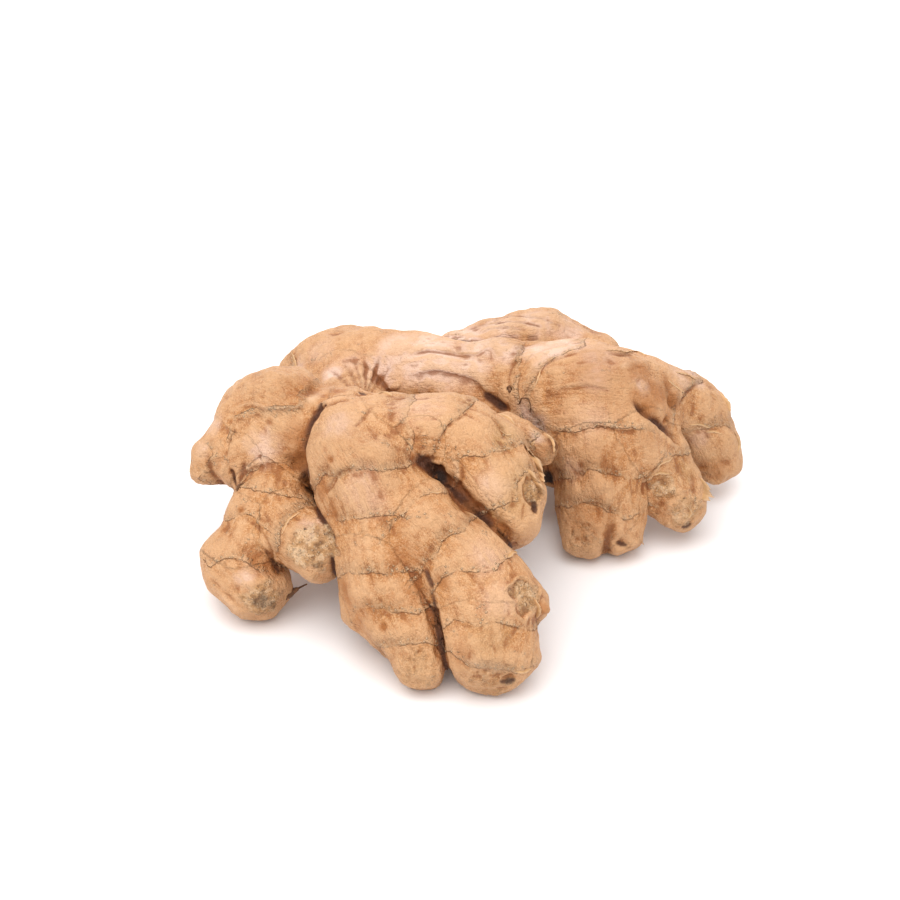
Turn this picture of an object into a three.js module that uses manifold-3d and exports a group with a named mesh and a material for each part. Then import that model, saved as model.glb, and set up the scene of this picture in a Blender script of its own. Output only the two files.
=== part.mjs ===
import * as THREE from 'three';
import { mergeVertices } from 'three/addons/utils/BufferGeometryUtils.js';
import Module from 'manifold-3d';

// A fresh ginger root lying on a table. It grew as one rhizome: a thick spine, a hand of
// fingers in front of it and a second hand at its right end, all one solid body.
// Millimetres, +Z up. The origin is on the table under the middle of the root.

const SIDES = 14;
const CAP_STEPS = 4;
const ROW_SPACING = 6;

const RING_RISE = 0.6;
const RING_HALF_WIDTH = 1.6;

const SKIN_COLOUR = 0xd6a87c;
const SKIN_ROUGHNESS = 0.68;

const TABLE_CUT_WIDTH = 220;
const TABLE_CUT_DEPTH = 30;

// Each finger is a line of stations, [x, y, z, radius], from where it grows out to its tip.
// Rings are the scars of old scale leaves, at distances along that line.
const FINGERS = {
  spineLeft: {
    stations: [[-53, 44.5, 22, 12], [-44, 44.5, 27, 13], [-32, 40.5, 31, 12.8], [-20, 35.5, 32, 13]],
    rings: [8, 22],
  },
  spine: {
    stations: [[-35, 33.5, 29, 12], [-15, 33.5, 32, 13.5], [8, 27.5, 34, 14.5], [29, 20.5, 36, 15]],
    rings: [26, 42],
  },
  rearKnob: {
    stations: [[8, 39.5, 32, 12], [21, 50.5, 32, 11.5], [33, 49.5, 29, 11]],
    rings: [16, 28],
  },
  neck: {
    stations: [[-31, 39.5, 29, 11.5], [-34, 23.5, 36, 12], [-34, 5.5, 41, 12.5], [-34, -8.5, 43, 13]],
    rings: [24],
  },
  main: {
    stations: [[-34, -17.5, 43, 13.5], [-26, -26.5, 38, 15.8], [-21, -33.5, 30, 15.3]],
    rings: [12],
  },
  frontFinger: {
    stations: [
      [-22, -32.5, 31, 13], [-24, -42.5, 24, 12], [-20, -50.5, 15.5, 11.5],
      [-15.5, -58.5, 10.5, 8.8], [-14, -62.5, 7.3, 7.6],
    ],
    rings: [15, 28, 37],
  },
  frontFingerBud: {
    stations: [[-25, -45.5, 19, 9], [-29, -48.5, 13.5, 7.4]],
    rings: [],
  },
  thickFinger: {
    stations: [[-14, -37.5, 32, 13], [-5, -44.5, 27, 13], [3, -51.5, 20, 13]],
    rings: [20],
  },
  thickFingerEnd: {
    stations: [[0, -48, 23, 12.5], [3.5, -55.5, 16.5, 12.7], [4.5, -62.5, 10.9, 11.5]],
    rings: [16],
  },
  thickFingerEye: {
    stations: [[6, -51.5, 20, 10], [13.5, -51.5, 20, 6.2]],
    rings: [],
  },
  upperFinger: {
    stations: [
      [-24, -14.5, 43, 13], [-11, -14.5, 44.5, 12.3], [0, -18.5, 43.5, 12.3],
      [8.5, -26.5, 37, 11.6], [12, -32.5, 32.5, 8],
    ],
    rings: [19, 31],
  },
  nub: {
    stations: [[0, -13, 40, 8.5], [9, -5, 38, 7.5], [18, -6, 35, 5]],
    rings: [],
  },
  leftLobe: {
    stations: [[-42, -8.5, 40, 13], [-51, -1.5, 40, 14.3], [-59, 1.5, 37, 13.5]],
    rings: [],
  },
  leftLobeEnd: {
    stations: [[-58, 0, 36, 13], [-62, -1.5, 33, 12.6]],
    rings: [],
  },
  leftNub: {
    stations: [[-66, -3.5, 33, 8], [-72, -5.5, 30, 5.8], [-75, -7.5, 28, 4.2]],
    rings: [],
  },
  leftBranch: {
    stations: [[-51, -10.5, 36, 11], [-53, -17.5, 28, 10.5], [-55, -24.5, 21, 10]],
    rings: [12],
  },
  innerTip: {
    stations: [[-53, -20.5, 25, 9.5], [-47, -29.5, 24.5, 9.2], [-41.5, -35.5, 24, 8.8]],
    rings: [12],
  },
  outerTip: {
    stations: [[-56, -22.5, 23, 10], [-62, -28.5, 15, 9.8]],
    rings: [8],
  },
  outerTipEnd: {
    stations: [[-63, -29.5, 13, 9.6], [-58.5, -36, 9.1, 9.6]],
    rings: [],
  },
  rightHand: {
    stations: [[25, 16.5, 36, 14.5], [36, 14.5, 38, 15.2], [45, 17.5, 34, 14]],
    rings: [],
  },
  rightThumb: {
    stations: [[35, 11.5, 33, 14], [35, 4.5, 24, 13.5], [36, -1, 14, 12.8], [37, -4.5, 10.4, 11]],
    rings: [15],
  },
  rightMiddle: {
    stations: [[43, 11.5, 31, 12], [51, 7.5, 22, 10], [56.5, 3.5, 14, 9.3], [58.5, 0.5, 12, 8.3]],
    rings: [12],
  },
  rightOuter: {
    stations: [
      [42, 22.5, 34, 13.5], [53, 23.5, 31.5, 11], [63, 26.5, 25, 10.2],
      [68.5, 25.5, 17.5, 9.2], [71.5, 23.5, 11, 7.6],
    ],
    rings: [17, 30],
  },
  middleFoot: {
    stations: [[-2, 26, 28, 13], [0, 12, 20, 12], [1, 2, 10.6, 11.2]],
    rings: [18],
  },
  rearBud: {
    stations: [[-20, 42, 27, 9], [-23, 51, 24, 7.5]],
    rings: [],
  },
  rearLeftFoot: {
    stations: [[-40, 43.5, 26, 12], [-45, 56.5, 16, 11.5], [-48, 63.5, 10.2, 10.8]],
    rings: [13],
  },
  rearMiddleFoot: {
    stations: [[-6, 35.5, 29, 13.5], [-2, 51.5, 18, 13], [0, 56.5, 12.1, 12.7]],
    rings: [16],
  },
  rearRightFoot: {
    stations: [[28, 45.5, 26, 12], [39, 54.5, 17, 11], [44, 58.5, 10.2, 10.8]],
    rings: [13],
  },
};

const wasm = await Module();
wasm.setup();

function toSolid(geometry) {
  const bare = geometry.clone();
  bare.deleteAttribute('normal');
  bare.deleteAttribute('uv');
  const merged = mergeVertices(bare, 1e-5);
  return new wasm.Manifold(new wasm.Mesh({
    numProp: 3,
    vertProperties: new Float32Array(merged.attributes.position.array),
    triVerts: new Uint32Array(merged.index.array),
  }));
}

function toGeometry(solid) {
  const mesh = solid.getMesh();
  const geometry = new THREE.BufferGeometry();
  geometry.setAttribute('position', new THREE.BufferAttribute(new Float32Array(mesh.vertProperties), 3));
  geometry.setIndex(new THREE.BufferAttribute(new Uint32Array(mesh.triVerts), 1));
  geometry.computeVertexNormals();
  return geometry;
}

// The radius swells smoothly from one station to the next, with a low ridge at each ring.
function radiusAt(distance, centreline, length, stations, rings) {
  const share = Math.min(distance / length, 0.9999);
  const along = centreline.getUtoTmapping(share) * (stations.length - 1);
  const from = Math.min(Math.floor(along), stations.length - 2);
  const blend = THREE.MathUtils.smoothstep(along - from, 0, 1);
  const skin = THREE.MathUtils.lerp(stations[from][3], stations[from + 1][3], blend);
  const ridge = rings.map((ring) => Math.max(0, 1 - Math.abs(distance - ring) / RING_HALF_WIDTH));
  return skin + RING_RISE * Math.max(0, ...ridge);
}

// Even rows along the finger, moved aside where a ring brings three rows of its own.
function rowDistances(length, rings) {
  const count = Math.max(1, Math.round(length / ROW_SPACING));
  const even = Array.from({ length: count + 1 }, (_, i) => (length * i) / count);
  const clear = even.filter((d) => rings.every((ring) => Math.abs(d - ring) > 1.5 * RING_HALF_WIDTH));
  const ridges = rings.flatMap((ring) => [ring - RING_HALF_WIDTH, ring, ring + RING_HALF_WIDTH]);
  return [...new Set([0, length, ...clear, ...ridges])].sort((a, b) => a - b);
}

// A straight finger with round ends, turned about Y from its tip back to its root.
function straightFinger(centreline, length, stations, rings) {
  const rows = rowDistances(length, rings).map((d) => [
    d, radiusAt(d, centreline, length, stations, rings),
  ]);
  const rootRadius = stations[0][3];
  const tipRadius = stations.at(-1)[3];
  const cap = Array.from({ length: CAP_STEPS }, (_, i) => (Math.PI / 2) * (i / CAP_STEPS));
  const profile = [
    ...cap.map((a) => new THREE.Vector2(rootRadius * Math.sin(a), -rootRadius * Math.cos(a))),
    ...rows.map(([d, radius]) => new THREE.Vector2(radius, d)),
    ...cap.reverse().map((a) => new THREE.Vector2(tipRadius * Math.sin(a), length + tipRadius * Math.cos(a))),
  ];
  return new THREE.LatheGeometry(profile, SIDES);
}

// Moves every point of a straight finger onto the curve through its stations.
function bendAlong(geometry, centreline, length) {
  const steps = 80;
  const frames = centreline.computeFrenetFrames(steps, false);
  const position = geometry.attributes.position;
  const point = new THREE.Vector3();
  for (let i = 0; i < position.count; i += 1) {
    const [across, distance, depth] = [position.getX(i), position.getY(i), position.getZ(i)];
    const inside = THREE.MathUtils.clamp(distance, 0, length);
    const step = Math.round((inside / length) * steps);
    centreline.getPointAt(inside / length, point);
    point.addScaledVector(frames.tangents[step], distance - inside);
    point.addScaledVector(frames.normals[step], across);
    point.addScaledVector(frames.binormals[step], -depth);
    position.setXYZ(i, point.x, point.y, point.z);
  }
  return geometry;
}

function finger({ stations, rings }) {
  const centreline = new THREE.CatmullRomCurve3(stations.map(([x, y, z]) => new THREE.Vector3(x, y, z)));
  const length = centreline.getLength();
  return bendAlong(straightFinger(centreline, length, stations, rings), centreline, length);
}

// The lowest fingertips rest on the table, each with a small flat pressed into the skin.
function belowTable() {
  const block = new THREE.BoxGeometry(TABLE_CUT_WIDTH, TABLE_CUT_WIDTH, TABLE_CUT_DEPTH);
  return block.translate(0, 0, -TABLE_CUT_DEPTH / 2);
}

const rhizome = Object.values(FINGERS)
  .map((shape) => toSolid(finger(shape)))
  .reduce((joined, next) => joined.add(next))
  .subtract(toSolid(belowTable()));

const ginger = new THREE.Group();
const skin = new THREE.MeshStandardMaterial({
  color: SKIN_COLOUR,
  roughness: SKIN_ROUGHNESS,
  metalness: 0,
});
const rhizomeMesh = new THREE.Mesh(toGeometry(rhizome), skin);
rhizomeMesh.name = 'ginger_rhizome';
ginger.add(rhizomeMesh);

export default ginger;
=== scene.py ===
"""A fresh ginger root on a pale table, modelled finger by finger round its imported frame."""
import math

import bpy
import numpy as np
from bpy.props import FloatProperty, FloatVectorProperty, IntProperty, PointerProperty
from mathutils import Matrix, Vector
from mathutils.bvhtree import BVHTree
from mathutils.kdtree import KDTree


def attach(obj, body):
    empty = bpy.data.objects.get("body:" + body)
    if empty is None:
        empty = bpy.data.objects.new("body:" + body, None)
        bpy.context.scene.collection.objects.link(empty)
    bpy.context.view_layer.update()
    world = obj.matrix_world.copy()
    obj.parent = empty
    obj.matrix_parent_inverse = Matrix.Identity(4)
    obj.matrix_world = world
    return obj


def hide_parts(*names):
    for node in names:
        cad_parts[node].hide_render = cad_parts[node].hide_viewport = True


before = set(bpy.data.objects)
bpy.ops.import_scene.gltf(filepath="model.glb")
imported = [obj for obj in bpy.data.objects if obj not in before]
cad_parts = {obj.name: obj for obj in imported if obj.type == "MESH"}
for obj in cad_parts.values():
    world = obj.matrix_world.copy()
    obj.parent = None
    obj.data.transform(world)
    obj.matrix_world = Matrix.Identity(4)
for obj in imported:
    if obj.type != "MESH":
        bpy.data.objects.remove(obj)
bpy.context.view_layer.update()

bl_info = {
    "name": "Ginger root",
    "version": (1, 0, 0),
    "blender": (4, 5, 0),
    "location": "3D View > Sidebar > Ginger",
    "description": "Models a fresh ginger root, its dry scales and its studio",
    "category": "Object",
}

CAD_NODE = "ginger_rhizome"
BODY = "root"
SKIN_PIECE = "rhizome_skin"
SCALE_PIECE = "scale_fringes"
HAIR_PIECE = "root_hairs"
MM = 0.001

# The photograph's camera looks at AIM on the table, along +Y and down by CAMERA_TILT.
AIM = (-6.0, 43.5, 0.0)
CAMERA_TILT = 35.0
CAMERA_REACH = 615.0
LENS = 81.2
SENSOR_WIDTH = 36.0
FRAME_PIXELS = 900
PIXEL_FOCUS = 2030.0
TILT = math.radians(CAMERA_TILT)
RIGHTWARD = np.array([1.0, 0.0, 0.0])
UPWARD = np.array([0.0, math.sin(TILT), math.cos(TILT)])
FORWARD = np.array([0.0, math.cos(TILT), -math.sin(TILT)])

# Each finger is a line of stations, x, y, z and radius in millimetres, from where it grows
# out to its tip.
FINGERS = {
    "spine_left": [
        (-46, 44.5, 23, 11.5), (-40, 43.5, 28, 12.8), (-31, 40.5, 31, 12.8), (-20, 35.5, 32, 13),
    ],
    "spine": [(-35, 34.5, 29, 12), (-15, 33, 31, 13), (8, 26.8, 32.8, 14), (29, 20.5, 36, 14.8)],
    "rear_knob": [(0, 42.5, 31.5, 11.5), (19, 50, 32.5, 11.5), (34, 48.5, 28.5, 10.5)],
    "neck": [(-31, 39.5, 29, 11.5), (-33, 23.5, 29.5, 11), (-33, 5.5, 35, 11.5), (-33, -8.5, 42, 12.2)],
    "main": [(-32.8, -17, 43, 12.8), (-26, -26.5, 38, 15.8), (-21, -33.5, 30, 15.3)],
    "front_finger": [
        (-22, -32.5, 31, 13), (-24, -42.5, 24, 12), (-20, -50.5, 15.5, 11.3), (-15.5, -58.2, 10.5, 8.6),
        (-14, -61.6, 7.4, 7.3),
    ],
    "front_finger_bud": [(-25, -45.5, 19, 9), (-27.8, -48.2, 14.5, 7.2)],
    "thick_finger": [(-14, -37.5, 32, 13), (-5, -44.5, 27, 13), (3, -51.5, 20, 13)],
    "thick_finger_end": [(0, -48, 23, 12.5), (3.2, -55.5, 16.5, 12.5), (3.8, -61.2, 11.2, 11.2)],
    "front_web": [(-15, -36, 32, 12), (-14, -41, 27, 10)],
    "front_finger_side": [(-17.5, -47, 21.5, 8), (-13.2, -54.5, 15.2, 6.5), (-11.5, -59.5, 9, 5)],
    "thick_side": [(-4.5, -49, 24.5, 8.5), (-2.6, -55.5, 19.3, 7), (-2, -61, 13.5, 6)],
    "thick_corner": [(8, -60, 12, 8), (12.2, -63.3, 9.4, 4.2)],
    "thick_finger_eye": [(6, -51.5, 20, 10), (13, -51.8, 18.8, 6.2)],
    "upper_finger": [
        (-24, -14.5, 43, 13), (-11, -14.5, 44.5, 12.3), (0, -18.5, 43.5, 12.3), (7, -26.8, 37, 11.2),
        (8.8, -32.6, 32.4, 8.3),
    ],
    "upper_under": [(-1.7, -19.7, 41.6, 11.6), (5, -28, 35.4, 10.6), (7, -32, 32, 8.6)],
    "upper_web": [(-16, -19.5, 45.8, 9), (-10.5, -20, 46.4, 8.6)],
    "upper_side": [
        (-2.7, -26.8, 37.3, 5.2), (-0.3, -29, 35, 6.3), (3, -30.7, 32, 6.2), (6, -32.5, 29.8, 5.4),
    ],
    "nub": [(0, -12, 39.4, 7.8), (9, -5.2, 38, 6.8), (17.2, -6, 35.3, 5.3)],
    "left_lobe": [(-42, -8.5, 40, 13), (-50, -1, 41.6, 14), (-56, 1.5, 39.5, 13)],
    "left_lobe_end": [(-57, 0, 36, 12.6), (-60, -1.5, 33, 12)],
    "lobe_front": [(-54, -1, 38, 11), (-57.5, -6.5, 36.3, 8.6), (-62, -5.5, 33.5, 7.6)],
    "left_nub_top": [(-65, -4, 35, 8), (-69.8, -5.2, 33, 6.3)],
    "left_nub": [(-64.5, -3.5, 33, 8), (-70, -5.5, 29.6, 5.8), (-72.8, -7.2, 28.2, 4.2)],
    "left_branch": [(-51, -7, 31, 10.5), (-53, -17, 27, 10.5), (-55, -24.5, 21, 10)],
    "branch_web": [(-44, -11, 25, 7), (-42, -15.5, 23, 6)],
    "inner_tip": [(-53, -20.5, 25, 9.5), (-47, -29.5, 24.5, 9.2), (-41.5, -35.5, 24, 8.8)],
    "outer_tip": [(-56, -22.5, 23, 10), (-62, -28.5, 15, 9.8)],
    "outer_tip_end": [(-63, -29.5, 13, 9.4), (-58.3, -33.8, 9.7, 9.2)],
    "right_hand": [(25, 16.5, 36, 14.5), (36, 14.5, 38, 15.2), (45, 17.5, 34, 14)],
    "right_thumb": [(35, 11.5, 33, 14), (35, 4.5, 24, 13.5), (36.8, -1, 14, 12), (37.2, -3, 10.8, 9.6)],
    "right_middle": [(43, 11.5, 31, 12), (51, 7.5, 22, 10), (56.2, 3.5, 14, 9.1), (57.8, 0.8, 12.2, 8)],
    "thumb_bump_left": [(33, -3.5, 11, 8.5), (31.6, -8.2, 6.6, 5.9)],
    "thumb_bump_right": [(40.5, -3, 11, 8.3), (42.9, -7.4, 6.6, 5.3)],
    "right_web": [(42, 9, 32, 12.5), (43.5, 7, 28, 11.3)],
    # hand_under fills the dark gap under the nub; its darkness there is painted shade from dark stains and a
    # crevice line.
    "hand_under": [(25, 18, 30, 12), (22, 13, 17, 7)],
    "right_outer": [
        (42, 22.5, 34, 13.5), (53, 23.5, 31.5, 11), (63, 26.5, 25, 10.2), (68.5, 25.5, 17.5, 9.2),
        (71.5, 23.5, 11, 7.6),
    ],
    "middle_foot": [(-2, 26, 28, 13), (0, 12, 20, 12), (1, 2, 10.6, 11.2)],
    "rear_bud": [(-20, 42, 27, 9), (-23, 51, 24, 7.5)],
    "rear_left_foot": [(-40, 43.5, 26, 12), (-45, 56.5, 16, 11.5), (-48, 63.5, 10.2, 10.8)],
    "rear_middle_foot": [(-6, 35.5, 29, 13.5), (-2, 51.5, 18, 13), (0, 56.5, 12.1, 12.7)],
    "rear_right_foot": [(28, 45.5, 26, 12), (39, 54.5, 17, 11), (44, 58.5, 10.2, 10.8)],
}

# How widely fingers flow together, in millimetres. Where they only touch, the skin keeps a
# deep crease.
FLOW = 2.6
CREASE_FLOW = 0.5
CREASE_DEPTH = 1.5
CREASE_WIDTH = 1.5
BROAD_FLOWS = {
    "main": {
        "front_finger": 5.0, "upper_finger": 6.0, "thick_finger": 4.0, "front_web": 5.0, "upper_web": 5.0,
        "inner_tip": 0.9,
    },
    "right_thumb": {
        "right_web": 5.0, "right_middle": 3.0, "thumb_bump_left": 4.0, "thumb_bump_right": 4.0,
        "right_hand": 5.0,
    },
    "left_branch": {
        "left_lobe": 6.0, "left_lobe_end": 6.0, "lobe_front": 5.0, "inner_tip": 4.0, "outer_tip": 4.0,
    },
    "thick_finger": {"thick_finger_end": 5.0, "front_web": 5.0, "front_finger": 4.0, "thick_side": 6.0},
    "front_web": {"front_finger": 5.0, "front_finger_side": 4.0, "thick_side": 4.0},
    "right_hand": {"right_web": 6.0, "right_middle": 4.0, "spine": 5.0},
    "lobe_front": {"left_lobe": 5.0, "left_lobe_end": 6.0, "left_nub": 4.0},
    "upper_finger": {"upper_under": 5.0, "upper_web": 6.0, "upper_side": 6.0},
    "front_finger": {"front_finger_side": 6.0, "inner_tip": 0.9},
    "thick_finger_end": {"thick_side": 6.0, "thick_corner": 5.0},
    "left_nub": {"left_nub_top": 3.0, "left_lobe_end": 3.0},
    "right_web": {"right_middle": 5.0},
    "upper_side": {"upper_under": 6.0},
    "outer_tip": {"outer_tip_end": 5.0},
    "spine": {"spine_left": 4.0},
    "left_lobe": {"left_lobe_end": 5.0},
}
TOUCHING = {
    "main": ["branch_web", "left_branch", "spine", "left_lobe", "upper_under", "upper_side"],
    "upper_finger": ["thick_finger", "thick_finger_end", "thick_finger_eye", "spine", "nub"],
    "thick_finger_end": ["front_finger", "front_finger_side", "upper_under", "upper_side"],
    "nub": ["right_hand", "right_thumb", "spine", "middle_foot"],
    "right_outer": ["right_middle", "right_thumb", "right_web"],
    "thick_side": ["front_finger_side", "front_finger", "upper_under"],
    "inner_tip": ["branch_web", "outer_tip_end"],
    "rear_knob": ["spine", "right_hand"],
    "upper_under": ["thick_finger", "thick_finger_eye"],
    "upper_side": ["thick_finger", "thick_finger_eye"],
    "left_lobe": ["spine_left"],
}

# Rings are the scars of old scale leaves. Those that the photograph shows are drawn through
# points of its frame, in pixels across and down.
DRAWN_RINGS = {
    "main": [[(322, 474), (339, 478), (348, 472), (364, 470), (387, 472), (404, 468)]],
    "front_finger": [
        [(343, 518), (362, 520), (383, 518), (397, 517)],
        [(348, 571), (364, 574), (379, 574), (400, 571), (416, 575)],
        [(366, 606), (386, 611), (402, 614), (418, 615), (426, 609), (440, 609)],
        [(378, 646), (388, 646), (407, 644), (422, 641), (444, 637)],
    ],
    "thick_finger": [
        [(399, 519), (407, 511), (422, 496), (430, 491), (446, 491)],
        [(437, 552), (439, 540), (449, 534), (464, 531), (470, 520)],
        [(444, 578), (458, 573), (475, 572), (494, 569), (506, 560)],
    ],
    "thick_finger_end": [
        [(446, 626), (455, 620), (477, 628), (491, 624), (506, 627), (525, 631), (532, 629)],
        [(450, 650), (470, 668), (494, 673), (515, 675), (530, 670)],
    ],
    "upper_finger": [
        [(416, 398), (409, 409), (406, 421), (409, 434), (411, 450)],
        [(473, 400), (464, 412), (458, 421), (445, 430), (438, 447), (434, 457)],
        [(459, 478), (460, 462), (464, 457), (485, 455), (504, 450), (525, 444)],
        [(518, 502), (516, 486), (524, 474), (534, 470)],
    ],
    "left_lobe": [[(228, 416), (249, 408), (276, 407), (298, 407)]],
    "left_branch": [
        [(240, 486), (249, 473), (266, 465), (284, 464)],
        [(250, 486), (262, 491), (272, 494), (287, 497), (302, 500)],
    ],
    "inner_tip": [[(302, 507), (292, 514), (283, 525), (279, 541), (275, 556)]],
    "outer_tip": [
        [(226, 520), (240, 514), (254, 516), (262, 524)],
        [(210, 566), (226, 558), (243, 562), (254, 569)],
    ],
    "right_hand": [
        [(524, 346), (518, 358), (512, 376), (509, 388)],
        [(586, 346), (570, 350), (555, 357), (541, 367), (534, 384), (529, 398)],
    ],
    "right_thumb": [
        [(562, 432), (587, 427), (609, 427), (621, 431), (637, 429), (650, 424)],
        [(574, 480), (587, 468), (597, 470), (612, 475), (630, 481)],
        [(570, 506), (580, 502), (594, 504), (610, 512), (624, 520)],
    ],
    "right_middle": [[(652, 478), (659, 464), (673, 457), (687, 452), (696, 454)]],
    "right_outer": [
        [(674, 414), (677, 406), (685, 395), (694, 386), (702, 380)],
        [(684, 432), (703, 429), (724, 425), (736, 432)],
    ],
    "left_nub": [[(200, 480), (206, 466), (216, 452)]],
    "nub": [[(530, 452), (536, 440), (543, 434)]],
}
# Rings that the photograph hides lie at distances along their fingers.
HIDDEN_RINGS = {
    "spine_left": [3],
    "middle_foot": [18],
    "rear_bud": [6],
    "rear_left_foot": [13, 24],
    "rear_middle_foot": [15, 26],
    "rear_right_foot": [13, 24],
}

# Folds and cracks seen in the photograph: pixels, height (a crack's is negative) and half
# width in millimetres.
FOLDS = [
    ([(232, 408), (250, 404), (268, 408), (286, 408), (300, 406)], 0.3, 0.7),
    ([(232, 410), (250, 406), (268, 410), (286, 410), (300, 408)], -0.25, 0.5),
    ([(345, 390), (334, 388), (324, 391), (310, 399)], 0.7, 1.6),
    ([(228, 396), (240, 379), (252, 369), (270, 364), (288, 367), (306, 375), (322, 380), (334, 384)], 0.5,
     1.3),
    ([(350, 401), (342, 401), (335, 403), (322, 409), (313, 420)], -0.5, 0.6),
    ([(350, 398), (340, 398), (331, 400), (318, 407)], 0.4, 0.9),
    ([(378, 405), (372, 407), (365, 417), (356, 426)], -0.35, 0.5),
    ([(358, 468), (346, 470), (338, 474), (330, 486), (324, 492)], -0.5, 0.6),
    ([(343, 361), (350, 373), (356, 383), (361, 391)], -0.4, 0.6),
    ([(352, 358), (357, 370), (361, 382), (363, 391)], -0.35, 0.5),
    ([(364, 350), (365, 366), (366, 380), (366, 391)], -0.4, 0.6),
    ([(381, 352), (377, 366), (373, 379), (368, 391)], -0.45, 0.6),
    ([(392, 360), (385, 374), (374, 389)], -0.3, 0.6),
    ([(326, 368), (340, 378), (352, 388)], -0.3, 0.8),
    ([(371, 356), (371, 372), (369, 386)], 0.35, 0.8),
    ([(358, 362), (361, 376), (364, 388)], 0.3, 0.7),
    ([(470, 326), (490, 320), (515, 316), (541, 319), (560, 326)], -0.3, 0.6),
    ([(466, 331), (484, 325), (504, 322), (524, 323), (540, 327)], -0.35, 0.6),
    ([(474, 335), (490, 329), (506, 328), (524, 330)], -0.3, 0.5),
    ([(540, 338), (526, 342), (514, 340), (503, 338), (492, 341)], -0.7, 1.5),
    ([(406, 357), (424, 345), (446, 340), (468, 340)], 0.25, 0.7),
    ([(398, 367), (412, 361), (432, 357), (452, 359), (470, 362)], 0.25, 0.7),
    ([(403, 384), (400, 388), (395, 391), (387, 391)], -0.5, 0.6),
    ([(240, 516), (252, 523), (262, 532), (270, 545), (272, 558)], -0.35, 0.6),
    ([(236, 556), (244, 560), (250, 568), (262, 573)], 0.45, 0.9),
    ([(217, 590), (226, 600), (236, 611)], 0.4, 1.0),
    ([(206, 452), (209, 464), (214, 476), (226, 486)], -0.6, 1.0),
    ([(230, 466), (235, 476), (237, 487)], -0.5, 0.8),
    ([(245, 460), (243, 470), (240, 482)], -0.5, 0.9),
    ([(520, 424), (532, 430), (544, 440), (552, 450)], 0.35, 0.6),
    ([(520, 430), (530, 436), (541, 446), (548, 456)], -0.35, 0.4),
    ([(524, 438), (532, 446), (540, 456), (544, 464)], 0.3, 0.6),
    ([(478, 412), (490, 416), (500, 424), (506, 436)], -0.35, 0.6),
    ([(486, 408), (500, 412), (512, 420), (520, 432)], 0.3, 0.7),
    ([(494, 430), (502, 438), (514, 440)], 0.3, 0.6),
    ([(702, 377), (694, 387), (685, 394), (680, 404)], -0.45, 0.6),
    ([(664, 374), (667, 384), (670, 396), (674, 406)], -0.6, 1.5),
    ([(654, 376), (658, 392), (662, 406)], 0.3, 1.2),
    ([(650, 360), (640, 361), (630, 363), (622, 367)], 0.6, 1.1),
    ([(608, 352), (618, 355), (630, 354)], -0.6, 0.9),
    ([(560, 466), (568, 466), (576, 474), (582, 474)], -0.3, 0.6),
    ([(610, 516), (611, 528), (607, 542), (606, 554)], -1.3, 1.5),
    ([(580, 503), (592, 503), (604, 506), (615, 512)], -0.3, 0.5),
    ([(554, 397), (560, 390), (572, 388), (590, 387), (607, 391)], -0.35, 0.5),
    ([(556, 393), (572, 385), (590, 384), (608, 388)], 0.25, 0.8),
    ([(586, 345), (575, 352), (558, 359), (545, 364), (536, 377), (526, 391)], -0.35, 0.5),
    ([(524, 342), (521, 351), (512, 365), (509, 376), (509, 386)], -0.3, 0.5),
    ([(484, 470), (492, 480), (498, 492)], 0.3, 1.0),
    ([(498, 492), (494, 508), (500, 520)], 0.2, 1.0),
    ([(458, 458), (461, 470), (461, 479), (456, 488)], -0.3, 0.5),
    ([(453, 456), (457, 468), (457, 480)], 0.3, 0.8),
    ([(472, 399), (470, 406), (465, 414), (457, 420), (449, 425), (442, 435), (436, 447), (432, 459)],
     -0.35, 0.45),
    ([(447, 648), (456, 655), (467, 660), (484, 668), (502, 672)], 0.4, 0.8),
    ([(450, 644), (460, 650), (480, 662), (502, 668)], 0.2, 1.2),
]

# Edges where the skin drops behind a fold or finger: pixels, depth and width of the drop in
# millimetres. The drop is on the left when going along the line.
DROPS = [
    ([(632, 396), (640, 411), (654, 421), (666, 432), (674, 441), (682, 447)], 1.8, 2.2),
    ([(271, 464), (262, 465), (247, 471), (238, 481)], 0.4, 1.8),
    ([(650, 424), (635, 430), (620, 431), (605, 427), (590, 425), (572, 428)], 0.35, 1.3),
    ([(494, 346), (485, 349), (475, 354), (460, 353), (445, 351), (431, 351), (417, 353), (402, 359)], 0.5,
     1.1),
    ([(502, 405), (487, 394), (475, 381), (457, 375), (439, 371), (427, 372), (416, 374), (398, 380)], 0.45,
     2.2),
    ([(468, 337), (451, 335), (435, 338), (423, 341), (408, 349)], 0.3, 0.9),
]
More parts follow.
